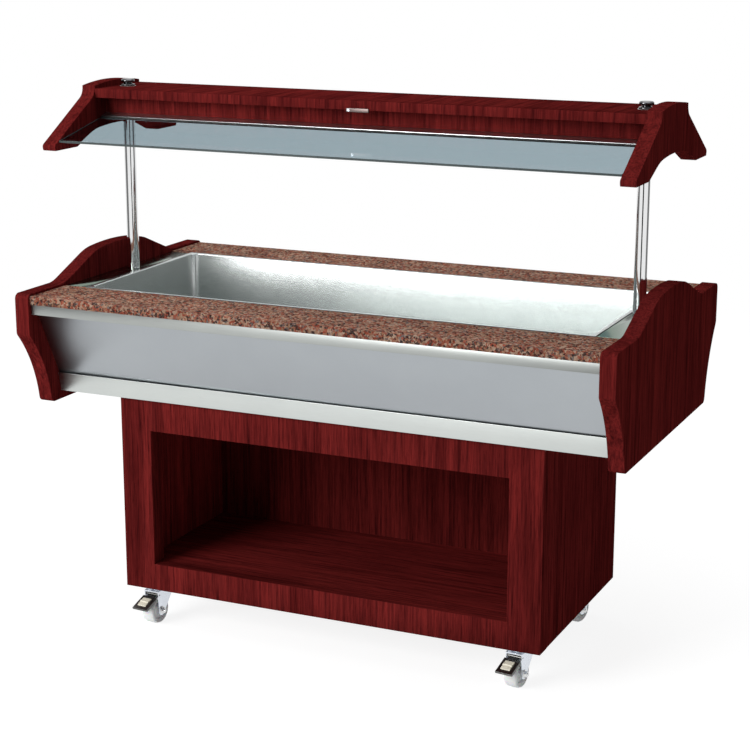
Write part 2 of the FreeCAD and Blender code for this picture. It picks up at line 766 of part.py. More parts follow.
def glass(name, turn):
    """A sloping pane, held along its upper edge."""
    top, low = "(beam_depth / 2 - channel_bed + glass_play)", "(glass_span / 2)"
    corners = [
        (top, f"{glass_line(top)} + {GLASS_HALF}"),
        (low, f"{glass_line(low)} + {GLASS_HALF}"),
        (low, f"{glass_line(low)} - {GLASS_HALF}"),
        (top, f"{glass_line(top)} - {GLASS_HALF}"),
    ]
    place(profile_body(name, corners, f"2 * ({CANOPY_INNER} - glass_end_gap)"), turn=turn)


def glass_channels():
    """Extruded channels under the rails that grip the upper edges of the panes."""
    root, bed = "(beam_depth / 2 - channel_root)", "(beam_depth / 2 - channel_bed)"
    lip = "(beam_depth / 2 + channel_lip)"
    wall = f"({SLOT_HALF} + channel_wall)"
    section = [
        (root, BEAM_BOTTOM),
        ("beam_depth / 2", BEAM_BOTTOM),
        (lip, f"{glass_line(lip)} + {wall}"),
        (lip, f"{glass_line(lip)} + {SLOT_HALF}"),
        (bed, f"{glass_line(bed)} + {SLOT_HALF}"),
        (bed, f"{glass_line(bed)} - {SLOT_HALF}"),
        (lip, f"{glass_line(lip)} - {SLOT_HALF}"),
        (lip, f"{glass_line(lip)} - {wall}"),
        (root, f"{glass_line(root)} - {wall}"),
    ]
    rear = profile_body("channel_rear", section, f"2 * {CANOPY_INNER}")
    mirror_pair("glass_channels", rear, Y_AXIS)


def pull_plate():
    """Small metal plate on the front lower edge of the top board."""
    block("pull_plate", ("pull_offset - pull_length / 2", "pull_offset + pull_length / 2"),
          ("-board_depth / 2 - pull_thickness", "-board_depth / 2"),
          (f"{BEAM_TOP} + pull_overlap - pull_height", f"{BEAM_TOP} + pull_overlap"))


# ---------------------------------------------------------------- castor places

CASTOR_X = f"({PEDESTAL_HALF} - castor_inset_x)"
CASTOR_Y = "(pedestal_depth / 2 - castor_inset_y)"
SCREW_X = "(plate_length / 2 - screw_margin)"
SCREW_Y = "(plate_width / 2 - screw_margin)"


def screw_holes(name, z, length, rows):
    """Clearance bores for the castor screws, at the given distances behind the middle."""
    spots = [(f"{side} * {CASTOR_X} + {step} * {SCREW_X}", y)
             for side in (-1, 1) for step in (-1, 1) for y in rows]
    return [rod(f"{name}_{index}", "screw_radius + screw_gap", x, y, z, length)
            for index, (x, y) in enumerate(spots)]


# ---------------------------------------------------------------- pedestal

def pedestal():
    """Wooden plinth: face frame, sides, back, floor and top, all around the niche."""
    bottom = "castor_height"
    half_x = PEDESTAL_HALF
    front = block("front_blank", (f"-{half_x}", half_x), ("-pedestal_depth / 2", FRAME_BACK),
                  (bottom, PEDESTAL_TOP))
    mouth = block("front_mouth", (f"-{NICHE_HALF}", NICHE_HALF),
                  ("-pedestal_depth", FRAME_BACK), (NICHE_FLOOR, NICHE_TOP))
    pilots = screw_holes("front_pilot", "castor_height - screw_gap", "screw_length + screw_gap * 2",
                         [f"-({CASTOR_Y} + {SCREW_Y})"])
    cut("pedestal_front", front, mouth, *pilots)

    rear = block("rear_blank", (f"-{half_x}", half_x), (REAR_BOARD, "pedestal_depth / 2"),
                 (bottom, PEDESTAL_TOP))
    service_z = "(castor_height + service_sill)"
    hatch = block("rear_hatch", ("-service_width / 2", "service_width / 2"),
                  (REAR_BOARD, "pedestal_depth"), (service_z, f"{service_z} + service_height"))
    cut("pedestal_rear", rear, hatch)

    y = (FRAME_BACK, REAR_BOARD)
    block("pedestal_side_left", (f"-{half_x}", f"-{SIDE_INNER}"), y, (bottom, PEDESTAL_TOP))
    block("pedestal_side_right", (SIDE_INNER, half_x), y, (bottom, PEDESTAL_TOP))
    inner = (f"-{SIDE_INNER}", SIDE_INNER)
    block("pedestal_floor", inner, y, (f"{NICHE_FLOOR} - wood_thickness", NICHE_FLOOR))
    top = block("top_blank", inner, y, (f"{PEDESTAL_TOP} - wood_thickness", PEDESTAL_TOP))
    hole = rod("top_drain_hole", "pipe_radius + pipe_gap", "0", DRAIN_Y,
               f"{PEDESTAL_TOP} - 2 * wood_thickness", "3 * wood_thickness")
    cut("pedestal_top", top, hole)


def niche_lining():
    """Dark inner walls, back and ceiling of the niche, standing on the pedestal floor."""
    y = (FRAME_BACK, NICHE_BACK)
    outer = f"({NICHE_WALL} + lining_thickness)"
    block("niche_side_left", (f"-{outer}", f"-{NICHE_WALL}"), y, (NICHE_FLOOR, LINING_TOP))
    block("niche_side_right", (NICHE_WALL, outer), y, (NICHE_FLOOR, LINING_TOP))
    block("niche_ceiling", (f"-{NICHE_WALL}", NICHE_WALL), y,
          (LINING_TOP, f"{LINING_TOP} + lining_thickness"))
    block("niche_back", (f"-{outer}", outer), (NICHE_BACK, f"{NICHE_BACK} + lining_thickness"),
          (NICHE_FLOOR, f"{LINING_TOP} + lining_thickness"))


def chassis_rails():
    """Two steel box rails under the floor, from the face frame to the back, over the castors."""
    near = f"({SIDE_INNER} - chassis_width)"
    z = ("castor_height", f"{NICHE_FLOOR} - wood_thickness")
    tube = block("rail_tube", (near, SIDE_INNER), (FRAME_BACK, REAR_BOARD), z)
    bore = block("rail_bore", (f"{near} + chassis_wall", f"{SIDE_INNER} - chassis_wall"),
                 (f"{FRAME_BACK} - chassis_wall", f"{REAR_BOARD} + chassis_wall"),
                 (f"{z[0]} + chassis_wall", f"{z[1]} - chassis_wall"))
    rows = [f"{CASTOR_Y} - {SCREW_Y}", f"{CASTOR_Y} + {SCREW_Y}", f"{SCREW_Y} - {CASTOR_Y}"]
    holes = [rod(f"rail_hole_{index}", "screw_radius + screw_gap",
                 f"{CASTOR_X} + {step} * {SCREW_X}", y, "castor_height - chassis_wall",
                 "3 * chassis_wall")
             for index, (step, y) in enumerate((step, y) for step in (-1, 1) for y in rows)]
    mirror_pair("chassis_rails", cut("rail_right", tube, bore, *holes), X_AXIS)


# ---------------------------------------------------------------- drain

def drain():
    """Flanged outlet with a strainer in the well floor, its tail pipe, valve and lever."""
    seat = f"({WELL_FLOOR} - drain_flange_thickness)"
    valve_top = f"({VALVE_Z} + valve_height / 2)"
    valve_foot = f"({VALVE_Z} - valve_height / 2)"
    flange = rod("outlet_flange", "pipe_radius + drain_flange", "0", DRAIN_Y, seat,
                 "drain_flange_thickness")
    tail = rod("outlet_tail", "pipe_radius", "0", DRAIN_Y, valve_top, f"{seat} - {valve_top}")
    bore = rod("outlet_bore", "pipe_radius - pipe_wall", "0", DRAIN_Y, f"{valve_top} - pipe_wall",
               f"{WELL_FLOOR} - strainer_thickness - {valve_top} + pipe_wall")
    spots = [("0", DRAIN_Y)]
    for ring in (1, 2):
        spots += [(f"{ring} * strainer_pitch * cos({60 * step / ring})",
                   f"{DRAIN_Y} + {ring} * strainer_pitch * sin({60 * step / ring})")
                  for step in range(6 * ring)]
    holes = [rod(f"strainer_hole_{index}", "strainer_hole", x, y,
                 f"{WELL_FLOOR} - 2 * strainer_thickness", "3 * strainer_thickness")
             for index, (x, y) in enumerate(spots)]
    cut("drain_outlet", joined("outlet_blank", flange, tail), bore, *holes)

    body = rod("valve_barrel", "valve_radius", "0", DRAIN_Y, valve_foot, "valve_height")
    spout = rod("valve_spout", "spout_radius", "0", DRAIN_Y, f"{valve_foot} - spout_length",
                "spout_length")
    boss = rod("valve_boss", "boss_radius", "0", DRAIN_Y, VALVE_Z, "boss_length", along="Y")
    way = rod("valve_way", "spout_radius - pipe_wall", "0", DRAIN_Y,
              f"{valve_foot} - spout_length - pipe_wall",
              "valve_height + spout_length + 2 * pipe_wall")
    seat = rod("valve_stem_bore", "stem_radius + pivot_fit", "0",
               f"{DRAIN_Y} + boss_length - stem_depth", VALVE_Z, "stem_depth + pipe_wall",
               along="Y")
    cut("drain_valve", joined("valve_blank", body, spout, boss), way, seat)

    face = f"({DRAIN_Y} + boss_length + lever_gap)"
    stem = rod("lever_stem", "stem_radius", "0",
               f"{DRAIN_Y} + boss_length - stem_depth + lever_gap", VALVE_Z, "stem_depth", along="Y")
    hub = rod("lever_hub", "boss_radius", "0", face, VALVE_Z, "lever_thickness", along="Y")
    arm = block("lever_arm", ("0", "lever_length - lever_width / 2"),
                (face, f"{face} + lever_thickness"),
                (f"{VALVE_Z} - lever_width / 2", f"{VALVE_Z} + lever_width / 2"))
    tip = rod("lever_tip", "lever_width / 2", "lever_length - lever_width / 2", face, VALVE_Z,
              "lever_thickness", along="Y")
    joined("drain_lever", stem, hub, arm, tip)


# ---------------------------------------------------------------- castors

FORK_TOP = "(castor_height - plate_thickness - race_height - swivel_gap)"
CROWN_UNDER = f"({FORK_TOP} - crown_thickness)"
LEG_INNER = "(wheel_width / 2 + wheel_gap)"
LEG_OUTER = "(wheel_width / 2 + wheel_gap + leg_thickness)"
PEDAL_Z = f"({CROWN_UNDER} - pedal_pivot_drop)"


def castor_plates():
    """Top plates with their ball races and kingpins, and the screws that hold them."""
    x, y = CASTOR_X, CASTOR_Y
    top = "castor_height - plate_thickness"
    flat = block("plate_flat", (f"{x} - plate_length / 2", f"{x} + plate_length / 2"),
                 (f"{y} - plate_width / 2", f"{y} + plate_width / 2"), (top, "castor_height"))
    race = rod("plate_race", "race_radius", x, y, f"{top} - race_height", "race_height")
    pin_foot = f"({CROWN_UNDER} - swivel_gap)"
    pin = rod("plate_kingpin", "kingpin_radius", x, y, pin_foot, f"{top} - {pin_foot}")
    head = rod("plate_kingpin_head", "kingpin_radius + kingpin_head", x, y,
               f"{pin_foot} - kingpin_head", "kingpin_head")
    holes = [rod(f"plate_hole_{index}", "screw_radius + screw_gap", f"{x} + {i} * {SCREW_X}",
                 f"{y} + {j} * {SCREW_Y}", f"{top} - plate_thickness", "3 * plate_thickness")
             for index, (i, j) in enumerate([(i, j) for i in (-1, 1) for j in (-1, 1)])]
    plate = cut("plate_one", joined("plate_blank", flat, race, pin, head), *holes)
    mirror_pair("castor_plates", mirror_pair("plate_row", plate, X_AXIS), Y_AXIS)

    spot = (f"{x} + {SCREW_X}", f"{y} + {SCREW_Y}")
    shank = rod("screw_shank", "screw_radius", *spot, top, "plate_thickness + screw_length")
    bolt_head = hexagon("screw_head", "screw_head_radius", *spot, f"{top} - screw_head_thickness",
                        "screw_head_thickness")
    screw = joined("screw_one", shank, bolt_head)
    pair = mirror_pair("screw_pair", screw, X_AXIS, at_x=x)
    four = mirror_pair("screw_four", pair, Y_AXIS, at_y=y)
    mirror_pair("castor_screws", mirror_pair("screw_row", four, X_AXIS), Y_AXIS)


def castor_fork(name, x, y, yaw):
    """Stamped fork: round crown, two raked legs, and holes for kingpin, axle and pedal pin."""
    body = new_body(name)
    side = sketch_on(body, "YZ_Plane", name + "_side")
    nose = "(pedal_pivot_y - 1.7 * barrel_radius)"
    low = "(wheel_radius - ear_radius * sin(20))"
    outline(side, [
        ("crown_back", FORK_TOP),
        ("crown_back", f"{FORK_TOP} - crown_skirt"),
        ("ear_radius * cos(20) - castor_trail", low, "ear_radius"),
        ("-castor_trail - ear_radius * cos(20)", low),
        (nose, f"{PEDAL_Z} - 2 * barrel_radius"),
        (nose, FORK_TOP),
    ])
    swept(body, "Pad", side, f"2 * {LEG_OUTER}")
    gap = sketch_on(body, "YZ_Plane", name + "_gap")
    outline(gap, rectangle((f"{nose} - ear_radius", "crown_back + ear_radius"),
                           ("0", CROWN_UNDER)))
    swept(body, "Pocket", gap, f"2 * {LEG_INNER}")
    crown = sketch_on(body, "XY_Plane", name + "_crown", CROWN_UNDER)
    circles(crown, [("0", "0")], "crown_radius")
    swept(body, "Pad", crown, "crown_thickness", symmetric=False)
    king = sketch_on(body, "XY_Plane", name + "_kingpin_hole", f"{CROWN_UNDER} - crown_thickness")
    circles(king, [("0", "0")], "kingpin_radius + pivot_fit")
    swept(body, "Pocket", king, "3 * crown_thickness", symmetric=False, reverse=True)
    for hole, radius, spot in (("axle", "axle_radius + pivot_fit", ("-castor_trail", "wheel_radius")),
                               ("pedal", "pedal_pin_radius + pivot_fit", ("pedal_pivot_y", PEDAL_Z))):
        bore = sketch_on(body, "YZ_Plane", f"{name}_{hole}_hole")
        circles(bore, [spot], radius)
        swept(body, "Pocket", bore, f"3 * {LEG_OUTER}")
    place(body, x, y, "0", yaw)


def castor_wheel(name, x, y, yaw):
    """Solid tyre with a rounded tread, a thin web and a wide hub, bored for the axle."""
    body = new_body(name)
    sketch = sketch_on(body, "XZ_Plane", name + "_section")
    rim = "(wheel_radius - rim_depth)"
    hub = f"({LEG_INNER} - hub_gap)"
    right = [
        ("wheel_width / 2 - tread_edge", "wheel_radius", "tread_edge * 1.01"),
        ("wheel_width / 2", "wheel_radius - tread_edge"),
        ("wheel_width / 2", rim),
        ("web_width / 2", rim),
        ("web_width / 2", "hub_radius"),
        (hub, "hub_radius"),
        (hub, "axle_radius + pivot_fit"),
    ]
    outline(sketch, both_sides(right))
    spun(body, sketch, "H_Axis")
    place(body, f"{x} + castor_trail * sin({yaw})", f"{y} - castor_trail * cos({yaw})",
          "wheel_radius", yaw)


def castor_axle(name, x, y, yaw):
    """Axle bolt with a washer and a nut at each end."""
    body = new_body(name)
    for part, radius, reach in (("shaft", "axle_radius",
                                 f"{LEG_OUTER} + washer_thickness + nut_thickness + axle_stub"),
                                ("washers", "washer_radius", f"{LEG_OUTER} + washer_thickness")):
        sketch = sketch_on(body, "YZ_Plane", f"{name}_{part}")
        circles(sketch, [("-castor_trail", "wheel_radius")], radius)
        swept(body, "Pad", sketch, f"2 * ({reach})")
    for end, offset, reverse in (("right", f"{LEG_OUTER} + washer_thickness", False),
                                 ("left", f"-{LEG_OUTER} - washer_thickness", True)):
        nut = sketch_on(body, "YZ_Plane", f"{name}_nut_{end}", offset)
        outline(nut, [(f"nut_radius * sin({angle}) - castor_trail",
                       f"nut_radius * cos({angle}) + wheel_radius") for angle in range(0, 360, 60)])
        swept(body, "Pad", nut, "nut_thickness", symmetric=False, reverse=reverse)
    between = sketch_on(body, "YZ_Plane", f"{name}_between")
    circles(between, [("-castor_trail", "wheel_radius")], "2 * washer_radius")
    circles(between, [("-castor_trail", "wheel_radius")], "axle_radius")
    swept(body, "Pocket", between, f"2 * {LEG_OUTER}")
    place(body, x, y, "0", yaw)


def castor_pedal(name, x, y, yaw):
    """Brake pedal: a treadle on a pinned barrel, with a shoe above the tyre."""
    body = new_body(name)

    def along(reach, rise):
        """A point at some reach and rise from the pivot, in the pedal's own slope."""
        return (f"pedal_pivot_y - ({reach}) * cos(pedal_tilt) - ({rise}) * sin(pedal_tilt)",
                f"{PEDAL_Z} - ({reach}) * sin(pedal_tilt) + ({rise}) * cos(pedal_tilt)")

    half = "pedal_thickness / 2"
    for part, near, far, low, width in (
            ("treadle", "pedal_root", "pedal_reach", f"-{half}", "pedal_width"),
            ("tongue", "0", "pedal_root + pedal_thickness", f"-{half}", "tongue_width"),
            ("shoe", "shoe_start", "shoe_end", f"-{half} - shoe_thickness", "shoe_width")):
        sketch = sketch_on(body, "YZ_Plane", f"{name}_{part}")
        outline(sketch, [along(far, half), along(near, half), along(near, low), along(far, low)][::-1])
        swept(body, "Pad", sketch, width)
    for part, radius, length in (("barrel", "barrel_radius", f"2 * ({LEG_INNER} - pivot_fit * 5)"),
                                 ("pin", "pedal_pin_radius", f"2 * {LEG_OUTER}")):
        sketch = sketch_on(body, "YZ_Plane", f"{name}_{part}")
        circles(sketch, [("pedal_pivot_y", PEDAL_Z)], radius)
        swept(body, "Pad", sketch, length)
    place(body, x, y, "0", yaw)


CASTORS = {
    "front_left": (f"-{CASTOR_X}", f"-{CASTOR_Y}", "front_left_yaw"),
    "front_right": (CASTOR_X, f"-{CASTOR_Y}", "front_right_yaw"),
    "rear_left": (f"-{CASTOR_X}", CASTOR_Y, "rear_yaw"),
    "rear_right": (CASTOR_X, CASTOR_Y, "rear_yaw"),
}


# ---------------------------------------------------------------- assembly

for end, side in (("left", -1), ("right", 1)):
    end_panel("end_panel_" + end, side)
    deck_plate("deck_plate_" + end, side)
    post("post_" + end, side)
    canopy_end("canopy_end_" + end, side)
for end, turn in (("front", "180"), ("rear", "0")):
    counter("counter_" + end, turn)
    skirt(end, turn)
    glass("glass_" + end, turn)
underside_tray()
well_liner()
well_insulation()
post_sockets()
post_caps()
canopy_beam()
post_bushes()
glass_channels()
pull_plate()
pedestal()
niche_lining()
chassis_rails()
drain()
castor_plates()
for corner, (x, y, yaw) in CASTORS.items():
    castor_fork("castor_fork_" + corner, x, y, yaw)
    castor_wheel("castor_wheel_" + corner, x, y, yaw)
    castor_axle("castor_axle_" + corner, x, y, yaw)
    if corner.startswith("front"):
        castor_pedal("castor_pedal_" + corner, x, y, yaw)
doc.recompute()

NODES = [
    "end_panel_left", "end_panel_right", "counter_front", "counter_rear",
    "top_trim_front", "top_trim_rear", "fascia_front", "fascia_rear",
    "lower_trim_front", "lower_trim_rear", "underside_tray", "well_liner",
    "well_insulation", "deck_plate_left", "deck_plate_right",
    "post_left", "post_right", "post_sockets", "post_caps",
    "canopy_board", "canopy_rail_front", "canopy_rail_rear", "canopy_soffit",
    "canopy_end_left", "canopy_end_right", "glass_front", "glass_rear",
    "glass_channels", "post_bushes", "pull_plate",
    "pedestal_front", "pedestal_rear", "pedestal_side_left", "pedestal_side_right",
    "pedestal_floor", "pedestal_top", "niche_side_left", "niche_side_right",
    "niche_back", "niche_ceiling", "chassis_rails",
    "drain_outlet", "drain_valve", "drain_lever", "castor_plates", "castor_screws",
]
NODES += [f"castor_{part}_{corner}" for part in ("fork", "wheel", "axle") for corner in CASTORS]
NODES += ["castor_pedal_front_left", "castor_pedal_front_right"]

for piece in doc.Objects:
    if {"Invalid", "Error"} & set(piece.State):
        raise RuntimeError(f"{piece.Label} failed: {piece.State}")
pieces = [doc.getObject(node) for node in NODES]
for piece in pieces:
    if piece.Shape.isNull() or not piece.Shape.isValid() or not piece.Shape.Solids:
        raise RuntimeError(f"{piece.Label} has no sound solid")

os.makedirs("parts", exist_ok=True)
for piece in pieces:
    piece.Shape.exportStep(f"parts/{piece.Label}.step")
    print(f"{piece.Label}: {len(piece.Shape.Solids)} solid(s), {piece.Shape.Volume / 1000:.1f} cm3")
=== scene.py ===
import json
import math

import bmesh
import bpy
from bpy.props import FloatProperty, FloatVectorProperty, IntProperty, PointerProperty
from mathutils import Matrix, Vector


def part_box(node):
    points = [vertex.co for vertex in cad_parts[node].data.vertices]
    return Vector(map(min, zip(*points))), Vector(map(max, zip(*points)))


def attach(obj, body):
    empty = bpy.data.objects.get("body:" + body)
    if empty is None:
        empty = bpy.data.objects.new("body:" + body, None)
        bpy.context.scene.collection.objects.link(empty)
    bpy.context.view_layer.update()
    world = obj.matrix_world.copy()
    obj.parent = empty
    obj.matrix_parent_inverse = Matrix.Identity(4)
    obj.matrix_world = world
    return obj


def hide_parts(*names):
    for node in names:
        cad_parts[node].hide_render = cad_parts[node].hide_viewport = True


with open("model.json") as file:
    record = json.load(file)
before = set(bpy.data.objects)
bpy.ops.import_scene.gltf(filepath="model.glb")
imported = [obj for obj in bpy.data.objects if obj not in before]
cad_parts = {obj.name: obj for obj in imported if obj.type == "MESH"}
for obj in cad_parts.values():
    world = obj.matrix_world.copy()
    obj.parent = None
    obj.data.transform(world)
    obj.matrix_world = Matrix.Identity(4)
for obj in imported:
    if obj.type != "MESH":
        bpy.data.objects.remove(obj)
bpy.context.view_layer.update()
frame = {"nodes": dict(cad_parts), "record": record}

bl_info = {
    "name": "Mobile Salad Bar",
    "version": (1, 0, 0),
    "blender": (4, 5, 0),
    "location": "View3D > Sidebar > Salad Bar",
    "description": "Dresses the packed salad bar in wood, stone, steel and glass on a pale stage",
    "category": "Object",
}

BODY_OF = {node: body for body, nodes in frame["record"]["behaviour"]["bodies"].items()
           for node in nodes}
JOINTS = {joint["name"]: joint for joint in frame["record"]["behaviour"]["joints"]}
CORNERS = ("front_left", "front_right", "rear_left", "rear_right")

PAN_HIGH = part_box("well_liner")[1]
POST_LOW, POST_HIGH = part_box("post_right")
REAR_LOW, REAR_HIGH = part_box("pedestal_rear")
PLATE_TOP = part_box("castor_plates")[1][2]
PULL_LOW, PULL_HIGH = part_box("pull_plate")
PANE_LOW, PANE_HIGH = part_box("glass_rear")
CHANNEL_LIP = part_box("glass_channels")[1][1]
OUTLET_LOW, OUTLET_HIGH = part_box("drain_outlet")
DRAIN = tuple((low + high) / 2 for low, high in zip(OUTLET_LOW[:2], OUTLET_HIGH[:2]))
WELL_FLOOR = OUTLET_HIGH[2]
VALVE_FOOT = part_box("drain_valve")[0][2]

WELD = 2e-6  # points of a CAD mesh that are nearer than this become one
FLAT_ANGLE = math.radians(0.4)  # faces that meet at less than this become one
EASED_ANGLE = math.radians(32)  # edges that turn by more than this are rounded


# ---------------------------------------------------------------- settings

class WoodSettings(bpy.types.PropertyGroup):
    light: FloatVectorProperty(
        name="Light Grain", description="Colour of the wood between its pores",
        subtype="COLOR", size=3, min=0, max=1, default=(0.155, 0.0155, 0.0145))
    dark: FloatVectorProperty(
        name="Dark Grain", description="Colour of the dark streaks",
        subtype="COLOR", size=3, min=0, max=1, default=(0.050, 0.0055, 0.0060))
    streaks: FloatProperty(
        name="Streaks per Metre", description="How close the streaks of the grain lie",
        min=20, max=800, default=190)
    edge: FloatProperty(
        name="Edge Rounding", description="Radius of the eased edges of the boards",
        subtype="DISTANCE", unit="LENGTH", min=0.0005, max=0.004, default=0.0018)
    roughness: FloatProperty(
        name="Roughness", description="Roughness of the satin varnish", min=0.1, max=1,
        default=0.42)


class StoneSettings(bpy.types.PropertyGroup):
    crystal: FloatProperty(
        name="Crystal Size", description="Width of the crystals in the granite",
        subtype="DISTANCE", unit="LENGTH", min=0.001, max=0.02, default=0.0050)
    red: FloatVectorProperty(
        name="Red Crystals", description="Colour of the red feldspar",
        subtype="COLOR", size=3, min=0, max=1, default=(0.365, 0.075, 0.044))
    tan: FloatVectorProperty(
        name="Tan Crystals", description="Colour of the pale feldspar",
        subtype="COLOR", size=3, min=0, max=1, default=(0.345, 0.205, 0.126))
    edge: FloatProperty(
        name="Arris", description="Radius of the polished edge of the counter",
        subtype="DISTANCE", unit="LENGTH", min=0.0005, max=0.004, default=0.0014)


class MetalSettings(bpy.types.PropertyGroup):
    fascia: FloatVectorProperty(
        name="Fascia", description="Colour of the sloping silver panels",
        subtype="COLOR", size=3, min=0, max=1, default=(0.390, 0.415, 0.435))
    top_trim: FloatVectorProperty(
        name="Top Trim", description="Colour of the level trim below the counter",
        subtype="COLOR", size=3, min=0, max=1, default=(0.370, 0.387, 0.374))
    lower_trim: FloatVectorProperty(
        name="Lower Trim", description="Colour of the slanted trim below the fascia",
        subtype="COLOR", size=3, min=0, max=1, default=(0.580, 0.608, 0.589))
    steel: FloatVectorProperty(
        name="Stainless Steel", description="Colour of the well and its deck plates",
        subtype="COLOR", size=3, min=0, max=1, default=(0.600, 0.625, 0.615))
    chrome: FloatVectorProperty(
        name="Chrome", description="Colour of the posts",
        subtype="COLOR", size=3, min=0, max=1, default=(0.820, 0.825, 0.830))
    dark_chrome: FloatVectorProperty(
        name="Dark Chrome", description="Colour of the heads on top of the posts",
        subtype="COLOR", size=3, min=0, max=1, default=(0.110, 0.110, 0.115))
    edge: FloatProperty(
        name="Edge Rounding", description="Radius of the folded and cut metal edges",
        subtype="DISTANCE", unit="LENGTH", min=0.0001, max=0.002, default=0.0006)


class GlassSettings(bpy.types.PropertyGroup):
    tint: FloatVectorProperty(
        name="Tint", description="Colour that the panes give to what is behind them",
        subtype="COLOR", size=3, min=0, max=1, default=(0.371, 0.473, 0.518))
    edge: FloatProperty(
        name="Ground Edge", description="Width of the ground edge of the panes",
        subtype="DISTANCE", unit="LENGTH", min=0.0002, max=0.002, default=0.0007)


class CastorSettings(bpy.types.PropertyGroup):
    # The wheels' colour is raised to lift the shade on their sides: partly the pale nylon, partly
    # painted light.
    tyre_with_painted_light: FloatVectorProperty(
        name="Wheel", description="Colour of the pale moulded wheels",
        subtype="COLOR", size=3, min=0, max=1, default=(0.880, 0.895, 0.895))
    zinc: FloatVectorProperty(
        name="Zinc Plating", description="Colour of the forks and plates",
        subtype="COLOR", size=3, min=0, max=1, default=(0.740, 0.780, 0.840))
    pad: FloatVectorProperty(
        name="Pedal Pad", description="Colour of the raised pad on the brake pedals",
        subtype="COLOR", size=3, min=0, max=1, default=(0.720, 0.680, 0.560))
    rounds: IntProperty(
        name="Facets", description="Number of facets round each turned piece",
        min=24, max=160, default=96)


class StageSettings(bpy.types.PropertyGroup):
    position: FloatVectorProperty(
        name="Camera Position", description="Where the camera stands",
        subtype="XYZ", unit="LENGTH", size=3, default=(1.8365, -4.0161, 1.7529))
    heading: FloatProperty(
        name="Heading", description="Turn of the camera to the left of straight ahead",
        subtype="ANGLE", default=math.radians(24.46))
    pitch: FloatProperty(
        name="Pitch", description="Tilt of the camera below level",
        subtype="ANGLE", default=math.radians(14.178))
    lens: FloatProperty(
        name="Lens", description="Focal length of the camera, in millimetres",
        min=20, max=200, default=88.889)
    key_power: FloatProperty(
        name="Key Light", description="Power of the large soft light in front",
        subtype="POWER", unit="POWER", min=0, max=2000, default=330)
    top_power: FloatProperty(
        name="Top Light", description="Power of the soft light overhead",
        subtype="POWER", unit="POWER", min=0, max=2000, default=80)
    ambient: FloatProperty(
        name="Ambient", description="Strength of the even light from all round",
        min=0, max=2, default=0.26)


# ---------------------------------------------------------------- materials

class Layout:
    """Adds nodes to a tree; each input takes a value or the socket that feeds it."""

    def __init__(self, tree):
        self.tree = tree

    def add(self, kind, inputs=(), **settings):
        node = self.tree.nodes.new(kind)
        for key, value in settings.items():
            setattr(node, key, value)
        for socket, value in dict(inputs).items():
            if isinstance(value, bpy.types.NodeSocket):
                self.tree.links.new(value, node.inputs[socket])
            else:
                node.inputs[socket].default_value = value
        return node

    def combine(self, operation, first, second):
        """The product, the sum or the larger of two numbers."""
        node = self.add("ShaderNodeMath", {0: first, 1: second}, operation=operation)
        return node.outputs[0]


class Recipe(Layout):
    """Lays out the nodes of one material."""

    def __init__(self, name):
        self.material = bpy.data.materials.new(name)
        self.material.use_nodes = True
        super().__init__(self.material.node_tree)
        self.shader = self.tree.nodes["Principled BSDF"]
        self.output = self.tree.nodes["Material Output"]

    def place(self, scale=(1, 1, 1)):
        """The object's own coordinates, stretched by a scale along each axis."""
        source = self.add("ShaderNodeTexCoord").outputs["Object"]
        return self.add("ShaderNodeMapping", {"Vector": source, "Scale": scale}).outputs["Vector"]

    def noise(self, vector, scale, detail=3.0, roughness=0.5, warp=0.0):
        node = self.add("ShaderNodeTexNoise", {
            "Vector": vector, "Scale": scale, "Detail": detail, "Roughness": roughness,
            "Distortion": warp})
        return node.outputs["Fac"]

    def ramp(self, factor, *stops):
        """A colour ramp through (position, colour) stops."""
        node = self.add("ShaderNodeValToRGB", {"Fac": factor})
        elements = node.color_ramp.elements
        while len(elements) < len(stops):
            elements.new(1.0)
        for element, (position, colour) in zip(elements, stops):
            element.position = position
            element.color = (*colour, 1.0)
        return node.outputs["Color"]

    def level(self, factor, low, high, start=0.0, stop=1.0):
        """A number that runs from start to stop as the factor goes from low to high."""
        node = self.add("ShaderNodeMapRange", {
            "Value": factor, "From Min": low, "From Max": high, "To Min": start, "To Max": stop})
        return node.outputs["Result"]

    def mix(self, factor, first, second, blend="MIX"):
        node = self.add("ShaderNodeMix", {0: factor, 6: first, 7: second}, data_type="RGBA",
                        blend_type=blend)
        return node.outputs[2]

    def bump(self, height, depth, strength):
        node = self.add("ShaderNodeBump", {
            "Height": height, "Distance": depth, "Strength": strength})
        self.tree.links.new(node.outputs["Normal"], self.shader.inputs["Normal"])

    def blend(self, share, second):
        """Mixes a share of a second shader into the surface."""
        mixed = self.add("ShaderNodeMixShader", {
            0: share, 1: self.shader.outputs[0], 2: second.outputs[0]})
        self.tree.links.new(mixed.outputs[0], self.output.inputs["Surface"])

    def finish(self, **values):
        """Sets the shader's sockets, named in lower case with underscores."""
        for key, value in values.items():
            socket = next(item for item in self.shader.inputs
                          if item.name.lower().replace(" ", "_") == key)
            if isinstance(value, bpy.types.NodeSocket):
                self.tree.links.new(value, socket)
            elif socket.type == "RGBA":
                socket.default_value = (*value, 1.0)
            else:
                socket.default_value = value
        return self.material


def material(name, maker, *options):
    """The named material, made the first time that it is asked for."""
    return bpy.data.materials.get(name) or maker(name, *options)


